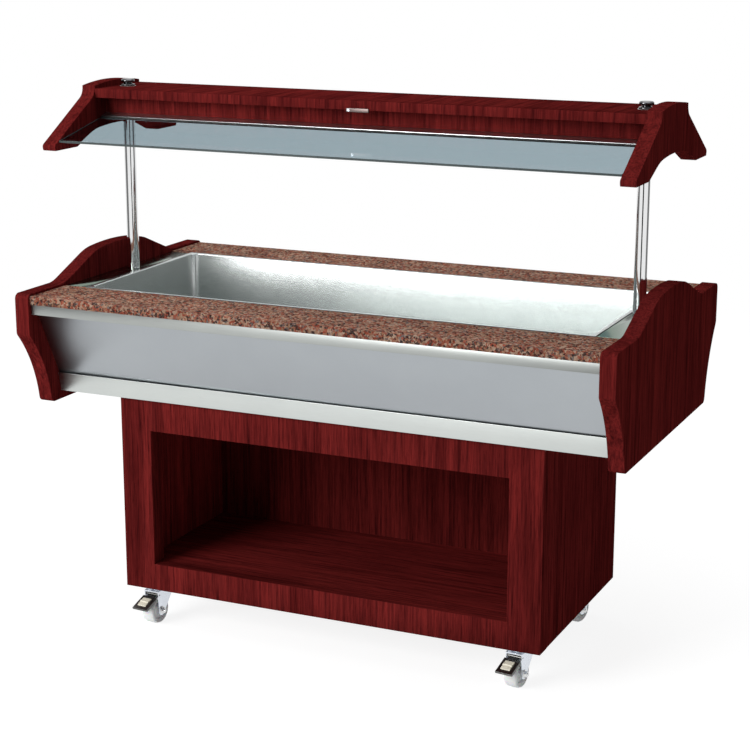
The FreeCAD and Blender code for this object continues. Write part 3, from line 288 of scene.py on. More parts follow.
def mahogany(name, slow, depth):
    """Red-brown veneer with dark pores; slow stretches its grain, depth darkens or lightens it."""
    wood = bpy.context.scene.salad_wood
    recipe = Recipe(name)
    light = Vector(wood.light) * depth
    dark = Vector(wood.dark) * depth
    along = recipe.place(slow)
    figure = recipe.noise(along, 9.0, 3.0, 0.55, 0.6)
    streak = recipe.noise(along, wood.streaks, 4.0, 0.62, 0.25)
    broad = recipe.noise(along, wood.streaks * 0.22, 3.0, 0.6, 0.5)
    pores = recipe.noise(along, wood.streaks * 4.5, 2.0, 0.5)
    body = recipe.ramp(streak, (0.30, dark), (0.47, dark.lerp(light, 0.62)), (0.62, light),
                       (0.80, light * 1.18))
    bands = recipe.ramp(broad, (0.32, (0.60, 0.56, 0.58)), (0.52, (0.98, 0.98, 0.98)),
                        (0.72, (1.18, 1.10, 1.08)))
    colour = recipe.mix(0.85, body, bands, "MULTIPLY")
    slow_tone = recipe.ramp(figure, (0.30, (0.86, 0.84, 0.86)), (0.70, (1.10, 1.12, 1.10)))
    colour = recipe.mix(1.0, colour, slow_tone, "MULTIPLY")
    pitted = recipe.ramp(pores, (0.36, (0.42, 0.36, 0.38)), (0.47, (1.0, 1.0, 1.0)))
    colour = recipe.mix(0.55, colour, pitted, "MULTIPLY")
    gloss = recipe.level(streak, 0.3, 0.7, wood.roughness + 0.08, wood.roughness - 0.05)
    recipe.bump(recipe.level(pores, 0.36, 0.5), 0.00012, 0.35)
    return recipe.finish(base_color=colour, roughness=gloss, specular_ior_level=0.0)


def granite(name, depth):
    """Polished granite of red, tan, grey and black crystals; depth darkens or lightens it."""
    stone = bpy.context.scene.salad_stone
    recipe = Recipe(name)
    where = recipe.place()
    wander = recipe.add("ShaderNodeTexNoise", {"Vector": where, "Scale": 260.0, "Detail": 2.0})
    shift = recipe.add("ShaderNodeMix", {0: 0.004, 4: where, 5: wander.outputs["Color"]},
                       data_type="VECTOR")
    red, tan = Vector(stone.red), Vector(stone.tan)
    colours = (
        (0.00, (0.012, 0.012, 0.014)), (0.22, (0.030, 0.026, 0.028)),
        (0.26, (0.180, 0.185, 0.185)), (0.34, red * 0.55), (0.52, red), (0.70, tan),
        (0.90, tan.lerp(Vector((0.52, 0.38, 0.29)), 0.8)))

    def crystals(fineness):
        """Three random numbers for each crystal."""
        cells = recipe.add("ShaderNodeTexVoronoi", {
            "Vector": shift.outputs[1], "Scale": fineness / stone.crystal, "Randomness": 1.0})
        return recipe.add("ShaderNodeSeparateColor", {"Color": cells.outputs["Color"]}).outputs

    coarse, fine = crystals(1.0), crystals(2.3)
    colour = recipe.mix(0.25, recipe.ramp(coarse["Red"], *colours),
                        recipe.ramp(fine["Green"], *colours))
    cloud = recipe.noise(where, 14.0, 2.0)
    veil = recipe.ramp(cloud, (0.35, Vector((0.84, 0.80, 0.80)) * depth),
                       (0.65, Vector((1.10, 1.10, 1.10)) * depth))
    colour = recipe.mix(1.0, colour, veil, "MULTIPLY")
    gloss = recipe.level(fine["Blue"], 0.0, 1.0, 0.10, 0.20)
    return recipe.finish(base_color=colour, roughness=gloss, specular_ior_level=0.0)


def sheet_metal(name, colour, roughness, contrast, brush=(1, 1, 1)):
    """Metal with a fine brushed or grained finish; brush stretches the grain."""
    recipe = Recipe(name)
    along = recipe.place(brush)
    grain = recipe.noise(along, 900.0, 3.0, 0.6)
    wear = recipe.noise(recipe.place(), 5.5, 4.0, 0.6)
    base = Vector(colour)
    tone = recipe.ramp(grain, (0.25, base * (1 - contrast)), (0.75, base * (1 + contrast)))
    handled = recipe.ramp(wear, (0.35, (0.96, 0.96, 0.965)), (0.65, (1.0, 1.0, 1.0)))
    tone = recipe.mix(1.0, tone, handled, "MULTIPLY")
    rough = recipe.level(grain, 0.3, 0.7, roughness * 0.9, roughness * 1.12)
    recipe.bump(grain, 0.00003, 0.25)
    return recipe.finish(base_color=tone, roughness=rough, metallic=1.0)


def chrome(name, colour):
    recipe = Recipe(name)
    smear = recipe.noise(recipe.place((1, 1, 0.3)), 38.0, 3.0, 0.6)
    rough = recipe.level(smear, 0.35, 0.75, 0.045, 0.10)
    tone = recipe.ramp(smear, (0.3, Vector(colour) * 0.96), (0.7, colour))
    return recipe.finish(base_color=tone, roughness=rough, metallic=1.0)


def pane_glass(name):
    """Blue-grey glass that lets light through without caustics."""
    glass = bpy.context.scene.salad_glass
    recipe = Recipe(name)
    dust = recipe.noise(recipe.place(), 22.0, 4.0, 0.6)
    tone = recipe.ramp(dust, (0.3, Vector(glass.tint) * 0.985), (0.7, glass.tint))
    recipe.finish(base_color=tone, roughness=0.0, transmission_weight=1.0, ior=1.16)
    shadow = recipe.add("ShaderNodeLightPath").outputs["Is Shadow Ray"]
    clear = recipe.add("ShaderNodeBsdfTransparent", {"Color": (0.72, 0.78, 0.80, 1.0)})
    recipe.blend(shadow, clear)
    return recipe.material


def moulded(name, colour, roughness, mottle=0.06, scale=60.0, soft=0.0):
    """Moulded plastic, rubber or paint with a faint mottle."""
    recipe = Recipe(name)
    cloud = recipe.noise(recipe.place(), scale, 3.0, 0.55)
    base = Vector(colour)
    tone = recipe.ramp(cloud, (0.3, base * (1 - mottle)), (0.7, base * (1 + mottle)))
    rough = recipe.level(cloud, 0.3, 0.7, roughness * 0.88, roughness * 1.12)
    recipe.bump(recipe.noise(recipe.place(), scale * 14, 2.0), 0.00005, 0.2)
    return recipe.finish(base_color=tone, roughness=rough, subsurface_weight=soft,
                         subsurface_scale=0.004)


def foam(name):
    recipe = Recipe(name)
    cells = recipe.add("ShaderNodeTexVoronoi", {"Vector": recipe.place(), "Scale": 700.0})
    tone = recipe.ramp(cells.outputs["Distance"], (0.1, (0.60, 0.50, 0.28)),
                       (0.6, (0.76, 0.67, 0.44)))
    recipe.bump(cells.outputs["Distance"], 0.0004, 0.6)
    return recipe.finish(base_color=tone, roughness=0.9)


def cast_brass(name):
    recipe = Recipe(name)
    pits = recipe.noise(recipe.place(), 420.0, 3.0, 0.6)
    stain = recipe.noise(recipe.place(), 40.0, 3.0)
    tone = recipe.ramp(stain, (0.3, (0.46, 0.30, 0.11)), (0.7, (0.66, 0.46, 0.19)))
    recipe.bump(pits, 0.00015, 0.5)
    rough = recipe.level(pits, 0.3, 0.7, 0.3, 0.5)
    return recipe.finish(base_color=tone, metallic=1.0, roughness=rough)


UPRIGHT = (1.0, 1.0, 0.035)
ACROSS = (1.0, 0.035, 0.035)
LENGTHWISE = (0.035, 1.0, 1.0)
# The niche's back takes a darker copy of the mahogany (painted shade) and its shadowed side walls
# a much lighter copy (painted light).
VENEERS = {"Upright": (UPRIGHT, 1.0), "Across": (ACROSS, 1.0), "Lengthwise": (LENGTHWISE, 1.0),
           "Lining": (UPRIGHT, 0.70), "Cheeks": (UPRIGHT, 1.80), "Shelf": (LENGTHWISE, 1.15)}


def veneer(kind):
    """The wood of one kind of board."""
    return material("Mahogany " + kind, mahogany, *VENEERS[kind])


def stainless():
    metal = bpy.context.scene.salad_metal
    return material("Stainless Brushed", sheet_metal, metal.steel, 0.24, 0.05, (0.03, 1, 1))


def polished():
    return material("Polished Steel", sheet_metal, (0.70, 0.71, 0.71), 0.14, 0.02)


def zinc():
    castor = bpy.context.scene.salad_castor
    return material("Zinc Plating", sheet_metal, castor.zinc, 0.26, 0.06)


def galvanised():
    return material("Galvanised Steel", sheet_metal, (0.50, 0.52, 0.54), 0.42, 0.14)


def rubber():
    return material("Dark Rubber", moulded, (0.020, 0.024, 0.022), 0.55)


# ---------------------------------------------------------------- meshes

def into_object(mesh, name):
    """Puts a bmesh into a new object at the origin, smooth, with its normals outwards."""
    bmesh.ops.recalc_face_normals(mesh, faces=mesh.faces)
    data = bpy.data.meshes.new(name)
    mesh.to_mesh(data)
    mesh.free()
    data.shade_smooth()
    piece = bpy.data.objects.new(name, data)
    bpy.context.scene.collection.objects.link(piece)
    return piece


def ease(piece, width, segments=3):
    """Rounds the sharp edges of a piece."""
    bevel = piece.modifiers.new("Eased edges", "BEVEL")
    bevel.width = width
    bevel.segments = segments
    bevel.limit_method = "ANGLE"
    bevel.angle_limit = EASED_ANGLE
    bevel.harden_normals = True
    bevel.miter_outer = "MITER_ARC"
    return piece


def hand_over(piece, paint, *nodes, body=None, slot=None):
    """Gives a piece its material and its body, and hides the nodes that it stands for. The slot is
    not used.
    """
    piece.data.materials.clear()
    piece.data.materials.append(paint)
    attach(piece, body or BODY_OF[nodes[0]])
    if nodes:
        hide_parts(*nodes)
    return piece


def merged(node):
    """The mesh of a CAD node, its faces joined at their shared corners."""
    mesh = bmesh.new()
    mesh.from_mesh(frame["nodes"][node].data)
    bmesh.ops.remove_doubles(mesh, verts=mesh.verts, dist=WELD)
    return mesh


def flattened(node):
    """The mesh of a CAD node without the edges inside its flat faces."""
    mesh = merged(node)
    bmesh.ops.dissolve_limit(mesh, angle_limit=FLAT_ANGLE, verts=mesh.verts, edges=mesh.edges)
    return mesh


def eased_copy(node, paint, width, segments=3):
    """A copy of a CAD node with rounded edges."""
    piece = ease(into_object(flattened(node), node + "_finished"), width, segments)
    return hand_over(piece, paint, node)


def bridge(mesh, first, second):
    """A closed band of faces between two loops of points."""
    return [mesh.faces.new((first[index - 1], first[index], second[index], second[index - 1]))
            for index in range(len(first))]


def bar(mesh, section, low, high, place=Matrix.Identity(4)):
    """Adds a bar from low to high along X on a section of (Y, Z) points; returns its sides."""
    ends = [[mesh.verts.new(place @ Vector((x, *spot))) for spot in section]
            for x in (low, high)]
    for end in ends:
        mesh.faces.new(end)
    return bridge(mesh, *ends)


def side_outline(node):
    """The corners round the side of a board that stands across X, as (Y, Z) points."""
    mesh = merged(node)
    mesh.normal_update()
    side = {face for face in mesh.faces if face.normal.x > 0.99}
    neighbours = {}
    for edge in mesh.edges:
        if len(side.intersection(edge.link_faces)) == 1:
            for vert in edge.verts:
                neighbours.setdefault(vert, []).append(edge.other_vert(vert))
    path = [next(iter(neighbours))]
    ahead = neighbours[path[0]][0]
    while ahead is not path[0]:
        path.append(ahead)
        ahead = next(vert for vert in neighbours[path[-1]] if vert is not path[-2])
    spots = [Vector((vert.co.y, vert.co.z)) for vert in path]
    mesh.free()
    count = len(spots)
    return [spot for index, spot in enumerate(spots)
            if (spot - spots[index - 1]).angle(spots[(index + 1) % count] - spot) > 0.001]


def refined(spots):
    """An outline with more points along its bends, and the same corners."""
    share, corner, straight_line = 5, math.radians(40), math.radians(0.5)
    count = len(spots)
    steps = [spots[(index + 1) % count] - spots[index] for index in range(count)]
    arrive, leave = [], []
    for index in range(count):
        before, after = steps[index - 1], steps[index]
        bent = before.angle(after) < corner
        arrive.append((before + after if bent else before).normalized())
        leave.append((before + after if bent else after).normalized())
    result = []
    for index, (start, step) in enumerate(zip(spots, steps)):
        end = (index + 1) % count
        first, last = leave[index] * step.length, arrive[end] * step.length
        straight = max(first.angle(step), last.angle(step)) < straight_line
        for part in range(1 if straight else share):
            t = part / share
            result.append(start * (2 * t ** 3 - 3 * t ** 2 + 1) + first * (t ** 3 - 2 * t ** 2 + t)
                          + spots[end] * (3 * t ** 2 - 2 * t ** 3) + last * (t ** 3 - t ** 2))
    return result


def shaped_board(node, width):
    """A shaped board on a finer outline: grain up its sides, and along the edge all round."""
    low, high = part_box(node)
    mesh = bmesh.new()
    for strip in bar(mesh, refined(side_outline(node)), low[0], high[0]):
        strip.material_index = 1
    piece = hand_over(ease(into_object(mesh, node + "_finished"), width), veneer("Upright"), node)
    piece.data.materials.append(veneer("Across"))
    return piece


def paint_node(node, paint):
    """Gives a CAD node a better material."""
    piece = frame["nodes"][node]
    if not piece.material_slots:
        piece.data.materials.append(paint)
    for slot in piece.material_slots:
        slot.material = paint


def turn_into(mesh, profile, place, rounds=None, closed=False):
    """Adds a shape turned about its own Z axis from (radius, height) points, then placed.

    An open profile starts and ends on the axis; a closed one is a ring's section.
    """
    rounds = rounds or bpy.context.scene.salad_castor.rounds
    work = bmesh.new()
    verts = [work.verts.new((radius, 0, height)) for radius, height in profile]
    pairs = list(zip(verts, verts[1:])) + ([(verts[-1], verts[0])] if closed else [])
    edges = [work.edges.new(pair) for pair in pairs]
    bmesh.ops.spin(work, geom=verts + edges, cent=(0, 0, 0), axis=(0, 0, 1),
                   angle=math.tau, steps=rounds, use_merge=True)
    bmesh.ops.remove_doubles(work, verts=work.verts, dist=1e-7)
    work.transform(place)
    data = bpy.data.meshes.new("turned")
    work.to_mesh(data)
    work.free()
    mesh.from_mesh(data)
    bpy.data.meshes.remove(data)


def sharpened(piece, angle=35):
    """Keeps the corners of a turned piece crisp while its rounds stay smooth."""
    piece.data.set_sharp_from_angle(angle=math.radians(angle))
    return piece


def smooth_profile(points, radius, steps=3):
    """Rounds each inner corner of a (radius, height) profile."""
    result = [points[0]]
    for before, corner, after in zip(points, points[1:], points[2:]):
        spot = Vector(corner)
        back, ahead = Vector(before) - spot, Vector(after) - spot
        reach = min(radius, back.length * 0.45, ahead.length * 0.45)
        first, last = spot + back.normalized() * reach, spot + ahead.normalized() * reach
        for step in range(steps + 1):
            share = step / steps
            a, b = first.lerp(spot, share), spot.lerp(last, share)
            result.append(tuple(a.lerp(b, share)))
    return result + [points[-1]]


def slab(mesh, low, high, place=Matrix.Identity(4)):
    """Adds a rectangular block to a bmesh."""
    size = Vector(high) - Vector(low)
    centre = (Vector(high) + Vector(low)) / 2
    bmesh.ops.create_cube(mesh, size=1.0, matrix=place @ Matrix.Translation(centre)
                          @ Matrix.Diagonal((*size, 1.0)))


def castor_place(corner):
    """Where a castor stands, turned as it trails at rest."""
    swivel = JOINTS["swivel_" + corner]["pos_m"]
    axle = JOINTS["roll_" + corner]["axis"]
    turn = math.atan2(axle[1], axle[0])
    return Matrix.Translation((swivel[0], swivel[1], 0)) @ Matrix.Rotation(turn, 4, "Z")


# ---------------------------------------------------------------- geometry nodes

class Growth(Layout):
    """Lays out one geometry node tree with named inputs."""

    def __init__(self, name, **inputs):
        super().__init__(bpy.data.node_groups.new(name, "GeometryNodeTree"))
        face = self.tree.interface
        face.new_socket("Geometry", in_out="INPUT", socket_type="NodeSocketGeometry")
        face.new_socket("Geometry", in_out="OUTPUT", socket_type="NodeSocketGeometry")
        self.keys = {}
        for key, default in inputs.items():
            kind = {float: "NodeSocketFloat", tuple: "NodeSocketVector"}[type(default)]
            socket = face.new_socket(key.replace("_", " ").title(), in_out="INPUT",
                                     socket_type=kind)
            socket.default_value = default
            self.keys[key] = socket.identifier
        self.entry = self.tree.nodes.new("NodeGroupInput")
        self.exit = self.tree.nodes.new("NodeGroupOutput")
        self.size = {key: self.entry.outputs[index + 1] for index, key in enumerate(inputs)}

    def joined(self, *parts):
        both = self.add("GeometryNodeJoinGeometry")
        for part in parts:
            self.tree.links.new(part, both.inputs[0])
        return both.outputs[0]

    def close(self, geometry, paint):
        """Ends the tree in real geometry that carries the material."""
        real = self.add("GeometryNodeRealizeInstances", {"Geometry": geometry})
        done = self.add("GeometryNodeSetMaterial", {"Geometry": real.outputs[0],
                                                    "Material": paint})
        self.tree.links.new(done.outputs[0], self.exit.inputs[0])

    def grow(self, name, points, loop=False, **values):
        """Runs the tree on some points, or on a loop of them, and returns a plain mesh object."""
        seed = bpy.data.meshes.new(name + "_seed")
        count = len(points)
        edges = [(index, (index + 1) % count) for index in range(count)] if loop else []
        seed.from_pydata([tuple(point) for point in points], edges, [])
        carrier = bpy.data.objects.new(name + "_seed", seed)
        bpy.context.scene.collection.objects.link(carrier)
        modifier = carrier.modifiers.new("Growth", "NODES")
        modifier.node_group = self.tree
        for key, value in values.items():
            modifier[self.keys[key]] = value
        bpy.context.view_layer.update()
        depsgraph = bpy.context.evaluated_depsgraph_get()
        data = bpy.data.meshes.new_from_object(carrier.evaluated_get(depsgraph),
                                               depsgraph=depsgraph)
        carrier.modifiers.clear()
        bpy.data.objects.remove(carrier)
        bpy.data.meshes.remove(seed)
        data.name = name
        piece = bpy.data.objects.new(name, data)
        bpy.context.scene.collection.objects.link(piece)
        return piece


def screw_growth(paint, sides):
    """Screws with a washer, a head and a shank at each point, all turned the same way."""
    tree = Growth("Screws", head_radius=0.0075, head_height=0.005, washer_radius=0.009,
                  washer_height=0.0012, shank_radius=0.004, shank_length=0.016,
                  turn=(0.0, 0.0, 0.0))
    size = tree.size

    def drum(vertices, radius, depth, sign):
        solid = tree.add("GeometryNodeMeshCylinder", {
            "Vertices": vertices, "Radius": size[radius], "Depth": size[depth]})
        return solid.outputs["Mesh"], tree.combine("MULTIPLY", size[depth], 0.5 * sign)

    def lifted(mesh, *heights):
        total = heights[0]
        for height in heights[1:]:
            total = tree.combine("ADD", total, height)
        offset = tree.add("ShaderNodeCombineXYZ", {"Z": total})
        return tree.add("GeometryNodeTransform", {
            "Geometry": mesh, "Translation": offset.outputs[0]}).outputs[0]

    head, head_half = drum(sides, "head_radius", "head_height", 1)
    washer, washer_half = drum(32, "washer_radius", "washer_height", 1)
    shank, shank_half = drum(16, "shank_radius", "shank_length", -1)
    screw = tree.joined(lifted(head, head_half, size["washer_height"]),
                        lifted(washer, washer_half), lifted(shank, shank_half))
    spin = tree.add("FunctionNodeEulerToRotation", {0: size["turn"]})
    spots = tree.add("GeometryNodeMeshToPoints", {"Mesh": tree.entry.outputs[0]})
    screws = tree.add("GeometryNodeInstanceOnPoints", {
        "Points": spots.outputs[0], "Instance": screw, "Rotation": spin.outputs[0]})
    tree.close(screws.outputs[0], paint)
    return tree


def screw_set(name, sides, points, head, washer, shank, turn):
    """Zinc screws at each point; head, washer and shank are (radius, length) pairs."""
    keys = ("head_radius", "head_height", "washer_radius", "washer_height", "shank_radius",
            "shank_length")
    sizes = dict(zip(keys, (*head, *washer, *shank)))
    return screw_growth(zinc(), sides).grow(name, points, turn=turn, **sizes)


def bead_growth(paint):
    """A round bead laid along the closed loop through the points."""
    tree = Growth("Bead", radius=0.002, corner=0.004)
    loop = tree.add("GeometryNodeMeshToCurve", {"Mesh": tree.entry.outputs[0]})
    rounded = tree.add("GeometryNodeFilletCurve", {
        "Curve": loop.outputs[0], "Radius": tree.size["corner"], "Count": 6}, mode="POLY")
    section = tree.add("GeometryNodeCurvePrimitiveCircle", {
        "Resolution": 10, "Radius": tree.size["radius"]})
    tube = tree.add("GeometryNodeCurveToMesh", {
        "Curve": rounded.outputs[0], "Profile Curve": section.outputs[0]})
    tree.close(tube.outputs[0], paint)
    return tree


def strainer_growth(paint):
    """A disc with a round hole at each point, made flat and then raised to its place."""
    tree = Growth("Strainer", radius=0.0143, hole=0.0009, thickness=0.001,
                  lift=(0.0, 0.0, 0.0))
    size = tree.size
    rim = tree.add("GeometryNodeCurvePrimitiveCircle", {
        "Resolution": 64, "Radius": size["radius"]})
    hole = tree.add("GeometryNodeCurvePrimitiveCircle", {
        "Resolution": 16, "Radius": size["hole"]})
    spots = tree.add("GeometryNodeMeshToPoints", {"Mesh": tree.entry.outputs[0]})
    holes = tree.add("GeometryNodeInstanceOnPoints", {
        "Points": spots.outputs[0], "Instance": hole.outputs[0]})
    real = tree.add("GeometryNodeRealizeInstances", {"Geometry": holes.outputs[0]})
    face = tree.add("GeometryNodeFillCurve", {
        "Curve": tree.joined(rim.outputs[0], real.outputs[0])})
    raised = tree.add("GeometryNodeExtrudeMesh", {
        "Mesh": face.outputs[0], "Offset Scale": size["thickness"], "Individual": False})
    under = tree.add("GeometryNodeFlipFaces", {"Mesh": face.outputs[0]})
    sealed = tree.add("GeometryNodeMergeByDistance", {
        "Geometry": tree.joined(raised.outputs[0], under.outputs[0]), "Distance": 0.00001})
    lifted = tree.add("GeometryNodeTransform", {
        "Geometry": sealed.outputs[0], "Translation": size["lift"]})
    tree.close(lifted.outputs[0], paint)
    return tree


# ---------------------------------------------------------------- pieces

class SALADBAR_OT_woodwork(bpy.types.Operator):
    """Eases and veneers the end panels, the pedestal and the wooden canopy"""
    bl_idname = "salad_bar.woodwork"
    bl_label = "Woodwork"

    def execute(self, context):
        edge = context.scene.salad_wood.edge
        for node in ("end_panel_left", "end_panel_right", "canopy_end_left", "canopy_end_right"):
            shaped_board(node, edge)
        for node in ("pedestal_front", "pedestal_side_left", "pedestal_side_right",
                     "pedestal_rear"):
            board = eased_copy(node, veneer("Upright"), edge)
            board.data.materials.append(veneer("Lengthwise"))
            for face in board.data.polygons:
                face.material_index = int(abs(face.normal.z) > 0.7)
        for node in ("canopy_board", "canopy_rail_front", "canopy_rail_rear", "canopy_soffit"):
            eased_copy(node, veneer("Across"), edge * 0.7)
        # The niche's side walls take a lighter copy of the mahogany and its back a darker one:
        # painted light and painted shade.
        for node in ("niche_side_left", "niche_side_right"):
            paint_node(node, veneer("Cheeks"))
        paint_node("niche_back", veneer("Lining"))
        for node in ("pedestal_floor", "niche_ceiling", "pedestal_top"):
            paint_node(node, veneer("Shelf"))
        self.service_opening()
        return {"FINISHED"}

    def service_opening(self):
        """Trim round the opening in the rear board, and the board's screws."""
        half, low, high, back = 0.110, 0.341, 0.481, REAR_HIGH[1]
        lap, proud, inward = 0.009, 0.002, 0.003
        mesh = bmesh.new()
        loops = [[mesh.verts.new(spot) for spot in (
            (-half - reach, y, low - reach), (half + reach, y, low - reach),
            (half + reach, y, high + reach), (-half - reach, y, high + reach))]
            for reach, y in ((0, back - inward), (0, back + proud), (lap, back + proud),
                             (lap, back))]
        for first, second in zip(loops, loops[1:] + loops[:1]):
            bridge(mesh, first, second)
        trim = ease(into_object(mesh, "service_trim"), 0.0006, 2)
        hand_over(trim, rubber(), body="cabinet", slot="dark_board")

        left, right, seat = REAR_LOW[0] + 0.03, REAR_HIGH[0] - 0.03, back - 0.0006
        points = [(left + (right - left) * step / 4, seat, row)
                  for row in (REAR_LOW[2] + 0.035, REAR_HIGH[2] - 0.035) for step in range(5)]
        points += [(side, seat, (REAR_LOW[2] + REAR_HIGH[2]) / 2) for side in (left, right)]
        screws = screw_set("rear_board_screws", 24, points, (0.0030, 0.0006), (0.0046, 0.0010),
                           (0.002, 0.012), (-math.pi / 2, 0.0, 0.0))
        hand_over(screws, zinc(), body="cabinet", slot="zinc")


class SALADBAR_OT_counters(bpy.types.Operator):
    """Polishes the granite counters and dresses the metal skirt below them"""
    bl_idname = "salad_bar.counters"
    bl_label = "Counters and Skirt"

    def execute(self, context):
        metal = context.scene.salad_metal
        stone = material("Red Granite", granite, 1.0)
        # A darker copy of the granite for the counters' front faces: painted shade, so that the
        # front reads darker than the top.
        stone_front_painted_shade = material("Red Granite Edge", granite, 0.70)
        top_trim = material("Top Trim", sheet_metal, metal.top_trim, 0.36, 0.03, (0.04, 1, 1))
        lower_trim = material("Lower Trim", sheet_metal, metal.lower_trim, 0.36, 0.03,
                              (0.04, 1, 1))
        panel = material("Silver Fascia", sheet_metal, metal.fascia, 0.32, 0.05)
        for side in ("front", "rear"):
            counter = eased_copy("counter_" + side, stone, context.scene.salad_stone.edge)
            counter.data.materials.append(stone_front_painted_shade)
            # Faces that look forward or back take the darker copy: painted shade on the counter's
            # front.
            for face in counter.data.polygons:
                face.material_index = int(abs(face.normal.y) > 0.7)
            eased_copy("top_trim_" + side, top_trim, metal.edge, 2)
            eased_copy("lower_trim_" + side, lower_trim, metal.edge, 2)
            eased_copy("fascia_" + side, panel, metal.edge / 2, 2)
        return {"FINISHED"}


class SALADBAR_OT_well(bpy.types.Operator):
    """Presses the stainless well, lays its seal and sets the strainer and deck plates"""
    bl_idname = "salad_bar.well"
    bl_label = "Well"

    def ring(self, mesh, inset, corner, height):
        """One rounded rectangle of the pan, drawn inwards from the rim's outer edge."""
        half_x, half_y = PAN_HIGH[0] - inset, PAN_HIGH[1] - inset
        spots = []
        for sign_x, sign_y, start in ((1, 1, 0), (-1, 1, 90), (-1, -1, 180), (1, -1, 270)):
            for step in range(7):
                angle = math.radians(start + 15 * step)
                spots.append(mesh.verts.new((
                    sign_x * (half_x - corner) + corner * math.cos(angle),
                    sign_y * (half_y - corner) + corner * math.sin(angle), height)))
        return spots

    def execute(self, context):
        self.pan()
        # The deck plates' dark green-grey colour stands for what their polished steel reflects: a
        # painted reflection.
        plate = material("Deck Plate", sheet_metal, (0.235, 0.300, 0.245), 0.16, 0.05,
                         (1, 0.05, 1))
        for node in ("deck_plate_left", "deck_plate_right"):
            eased_copy(node, plate, 0.0004, 2)
        self.seal()
        self.strainer()
        return {"FINISHED"}

    def pan(self):
        """The pressed pan: rim, wall, rounded foot and floor, with a seat for the outlet."""
        mesh = bmesh.new()
        rim, top, wall = 0.008, PAN_HIGH[2], 0.002
        inner, outer, sharp, fillet = rim + 0.002, rim + 0.0001, 0.020, 0.012
        steps = [(0.0, 0.0016, top - 0.0015), (0.0, 0.0016, top - 0.0006),
                 (0.0003, 0.0014, top - 0.0002), (0.0009, 0.0012, top),
                 (rim, 0.012, top), (rim + 0.0012, 0.016, top - 0.0003),
                 (inner - 0.0002, 0.019, top - 0.0012), (inner, sharp, top - 0.0024)]
        for step in range(7):
            angle = math.radians(15 * step)
            reach = fillet * (1 - math.cos(angle))
            steps.append((inner + reach, sharp - reach,
                          WELL_FLOOR + fillet * (1 - math.sin(angle))))
        below = [(outer, sharp + wall, top - 0.0015), (outer, sharp + wall, WELL_FLOOR + fillet)]
        for step in range(1, 5):
            angle = math.radians(22.5 * step)
            reach = (fillet + wall) * (1 - math.cos(angle))
            below.append((outer + reach, sharp + wall - reach,
                          WELL_FLOOR + fillet - (fillet + wall) * math.sin(angle)))
        loops = [self.ring(mesh, *step) for step in (*reversed(below), *steps)]
        for first, second in zip(loops, loops[1:]):
            bridge(mesh, first, second)
        seat = smooth_profile([
            (0.0245, 0.0), (0.0245, -0.0020), (0.0163, -0.0020), (0.0163, -0.0040),
            (0.0265, -0.0040), (0.0265, -0.0020)], 0.0006)
        x, y = DRAIN
        facets = 48
        rings = [[mesh.verts.new((x + radius * math.cos(math.tau * step / facets),
                                  y + radius * math.sin(math.tau * step / facets),
                                  WELL_FLOOR + height)) for step in range(facets)]
                 for radius, height in seat]
        for first, second in zip(rings, rings[1:]):
            bridge(mesh, first, second)
        for ring, loop in ((rings[0], loops[-1]), (rings[-1], loops[0])):
            edges = [mesh.edges.get((line[index - 1], line[index]))
                     for line in (ring, loop) for index in range(len(line))]
            bmesh.ops.triangle_fill(mesh, use_beauty=True, edges=edges)
        hand_over(sharpened(into_object(mesh, "well_pan"), 50), stainless(), "well_liner")

    def seal(self):
        """Dark sealant where the rim laps the counters and the deck plates, made thick enough to
        stand also for the shadow line under the rim: partly sealant, partly painted shade.
        """
        x, y, height = PAN_HIGH[0] + 0.0005, PAN_HIGH[1] + 0.0005, PAN_HIGH[2] - 0.0011
        corners = [(x, y, height), (-x, y, height), (-x, -y, height), (x, -y, height)]
        bead = bead_growth(rubber()).grow("rim_seal", corners, loop=True, radius=0.0012,
                                          corner=0.003)
        hand_over(bead, rubber(), body="cabinet", slot="stainless")

    def strainer(self):
        """The disc with the drain's holes, and the turned outlet round it."""
        pitch, sink = 0.0052, 0.0015
        spots = [(0.0, 0.0, 0.0)]
        for ring in (1, 2):
            spots += [(pitch * ring * math.cos(math.tau * step / (6 * ring)),
                       pitch * ring * math.sin(math.tau * step / (6 * ring)), 0.0)
                      for step in range(6 * ring)]
        disc = strainer_growth(polished()).grow(
            "drain_strainer", spots, radius=0.0140, hole=0.00175, thickness=0.0013,
            lift=(*DRAIN, WELL_FLOOR - sink))
        hand_over(disc, polished(), body="cabinet", slot="stainless")
        bottom = OUTLET_LOW[2] - WELL_FLOOR
        section = [(0.0135, bottom), (0.0160, bottom), (0.0160, -0.0020), (0.0239, -0.0020),
                   (0.0239, -0.0005), (0.0234, 0.0), (0.0150, 0.0), (0.0140, -0.0004),
                   (0.0135, -0.0016)]
        mesh = bmesh.new()
        turn_into(mesh, section, Matrix.Translation((*DRAIN, WELL_FLOOR)), closed=True)
        outlet = ease(into_object(mesh, "drain_outlet_turned"), 0.0003, 2)
        hand_over(outlet, polished(), "drain_outlet")


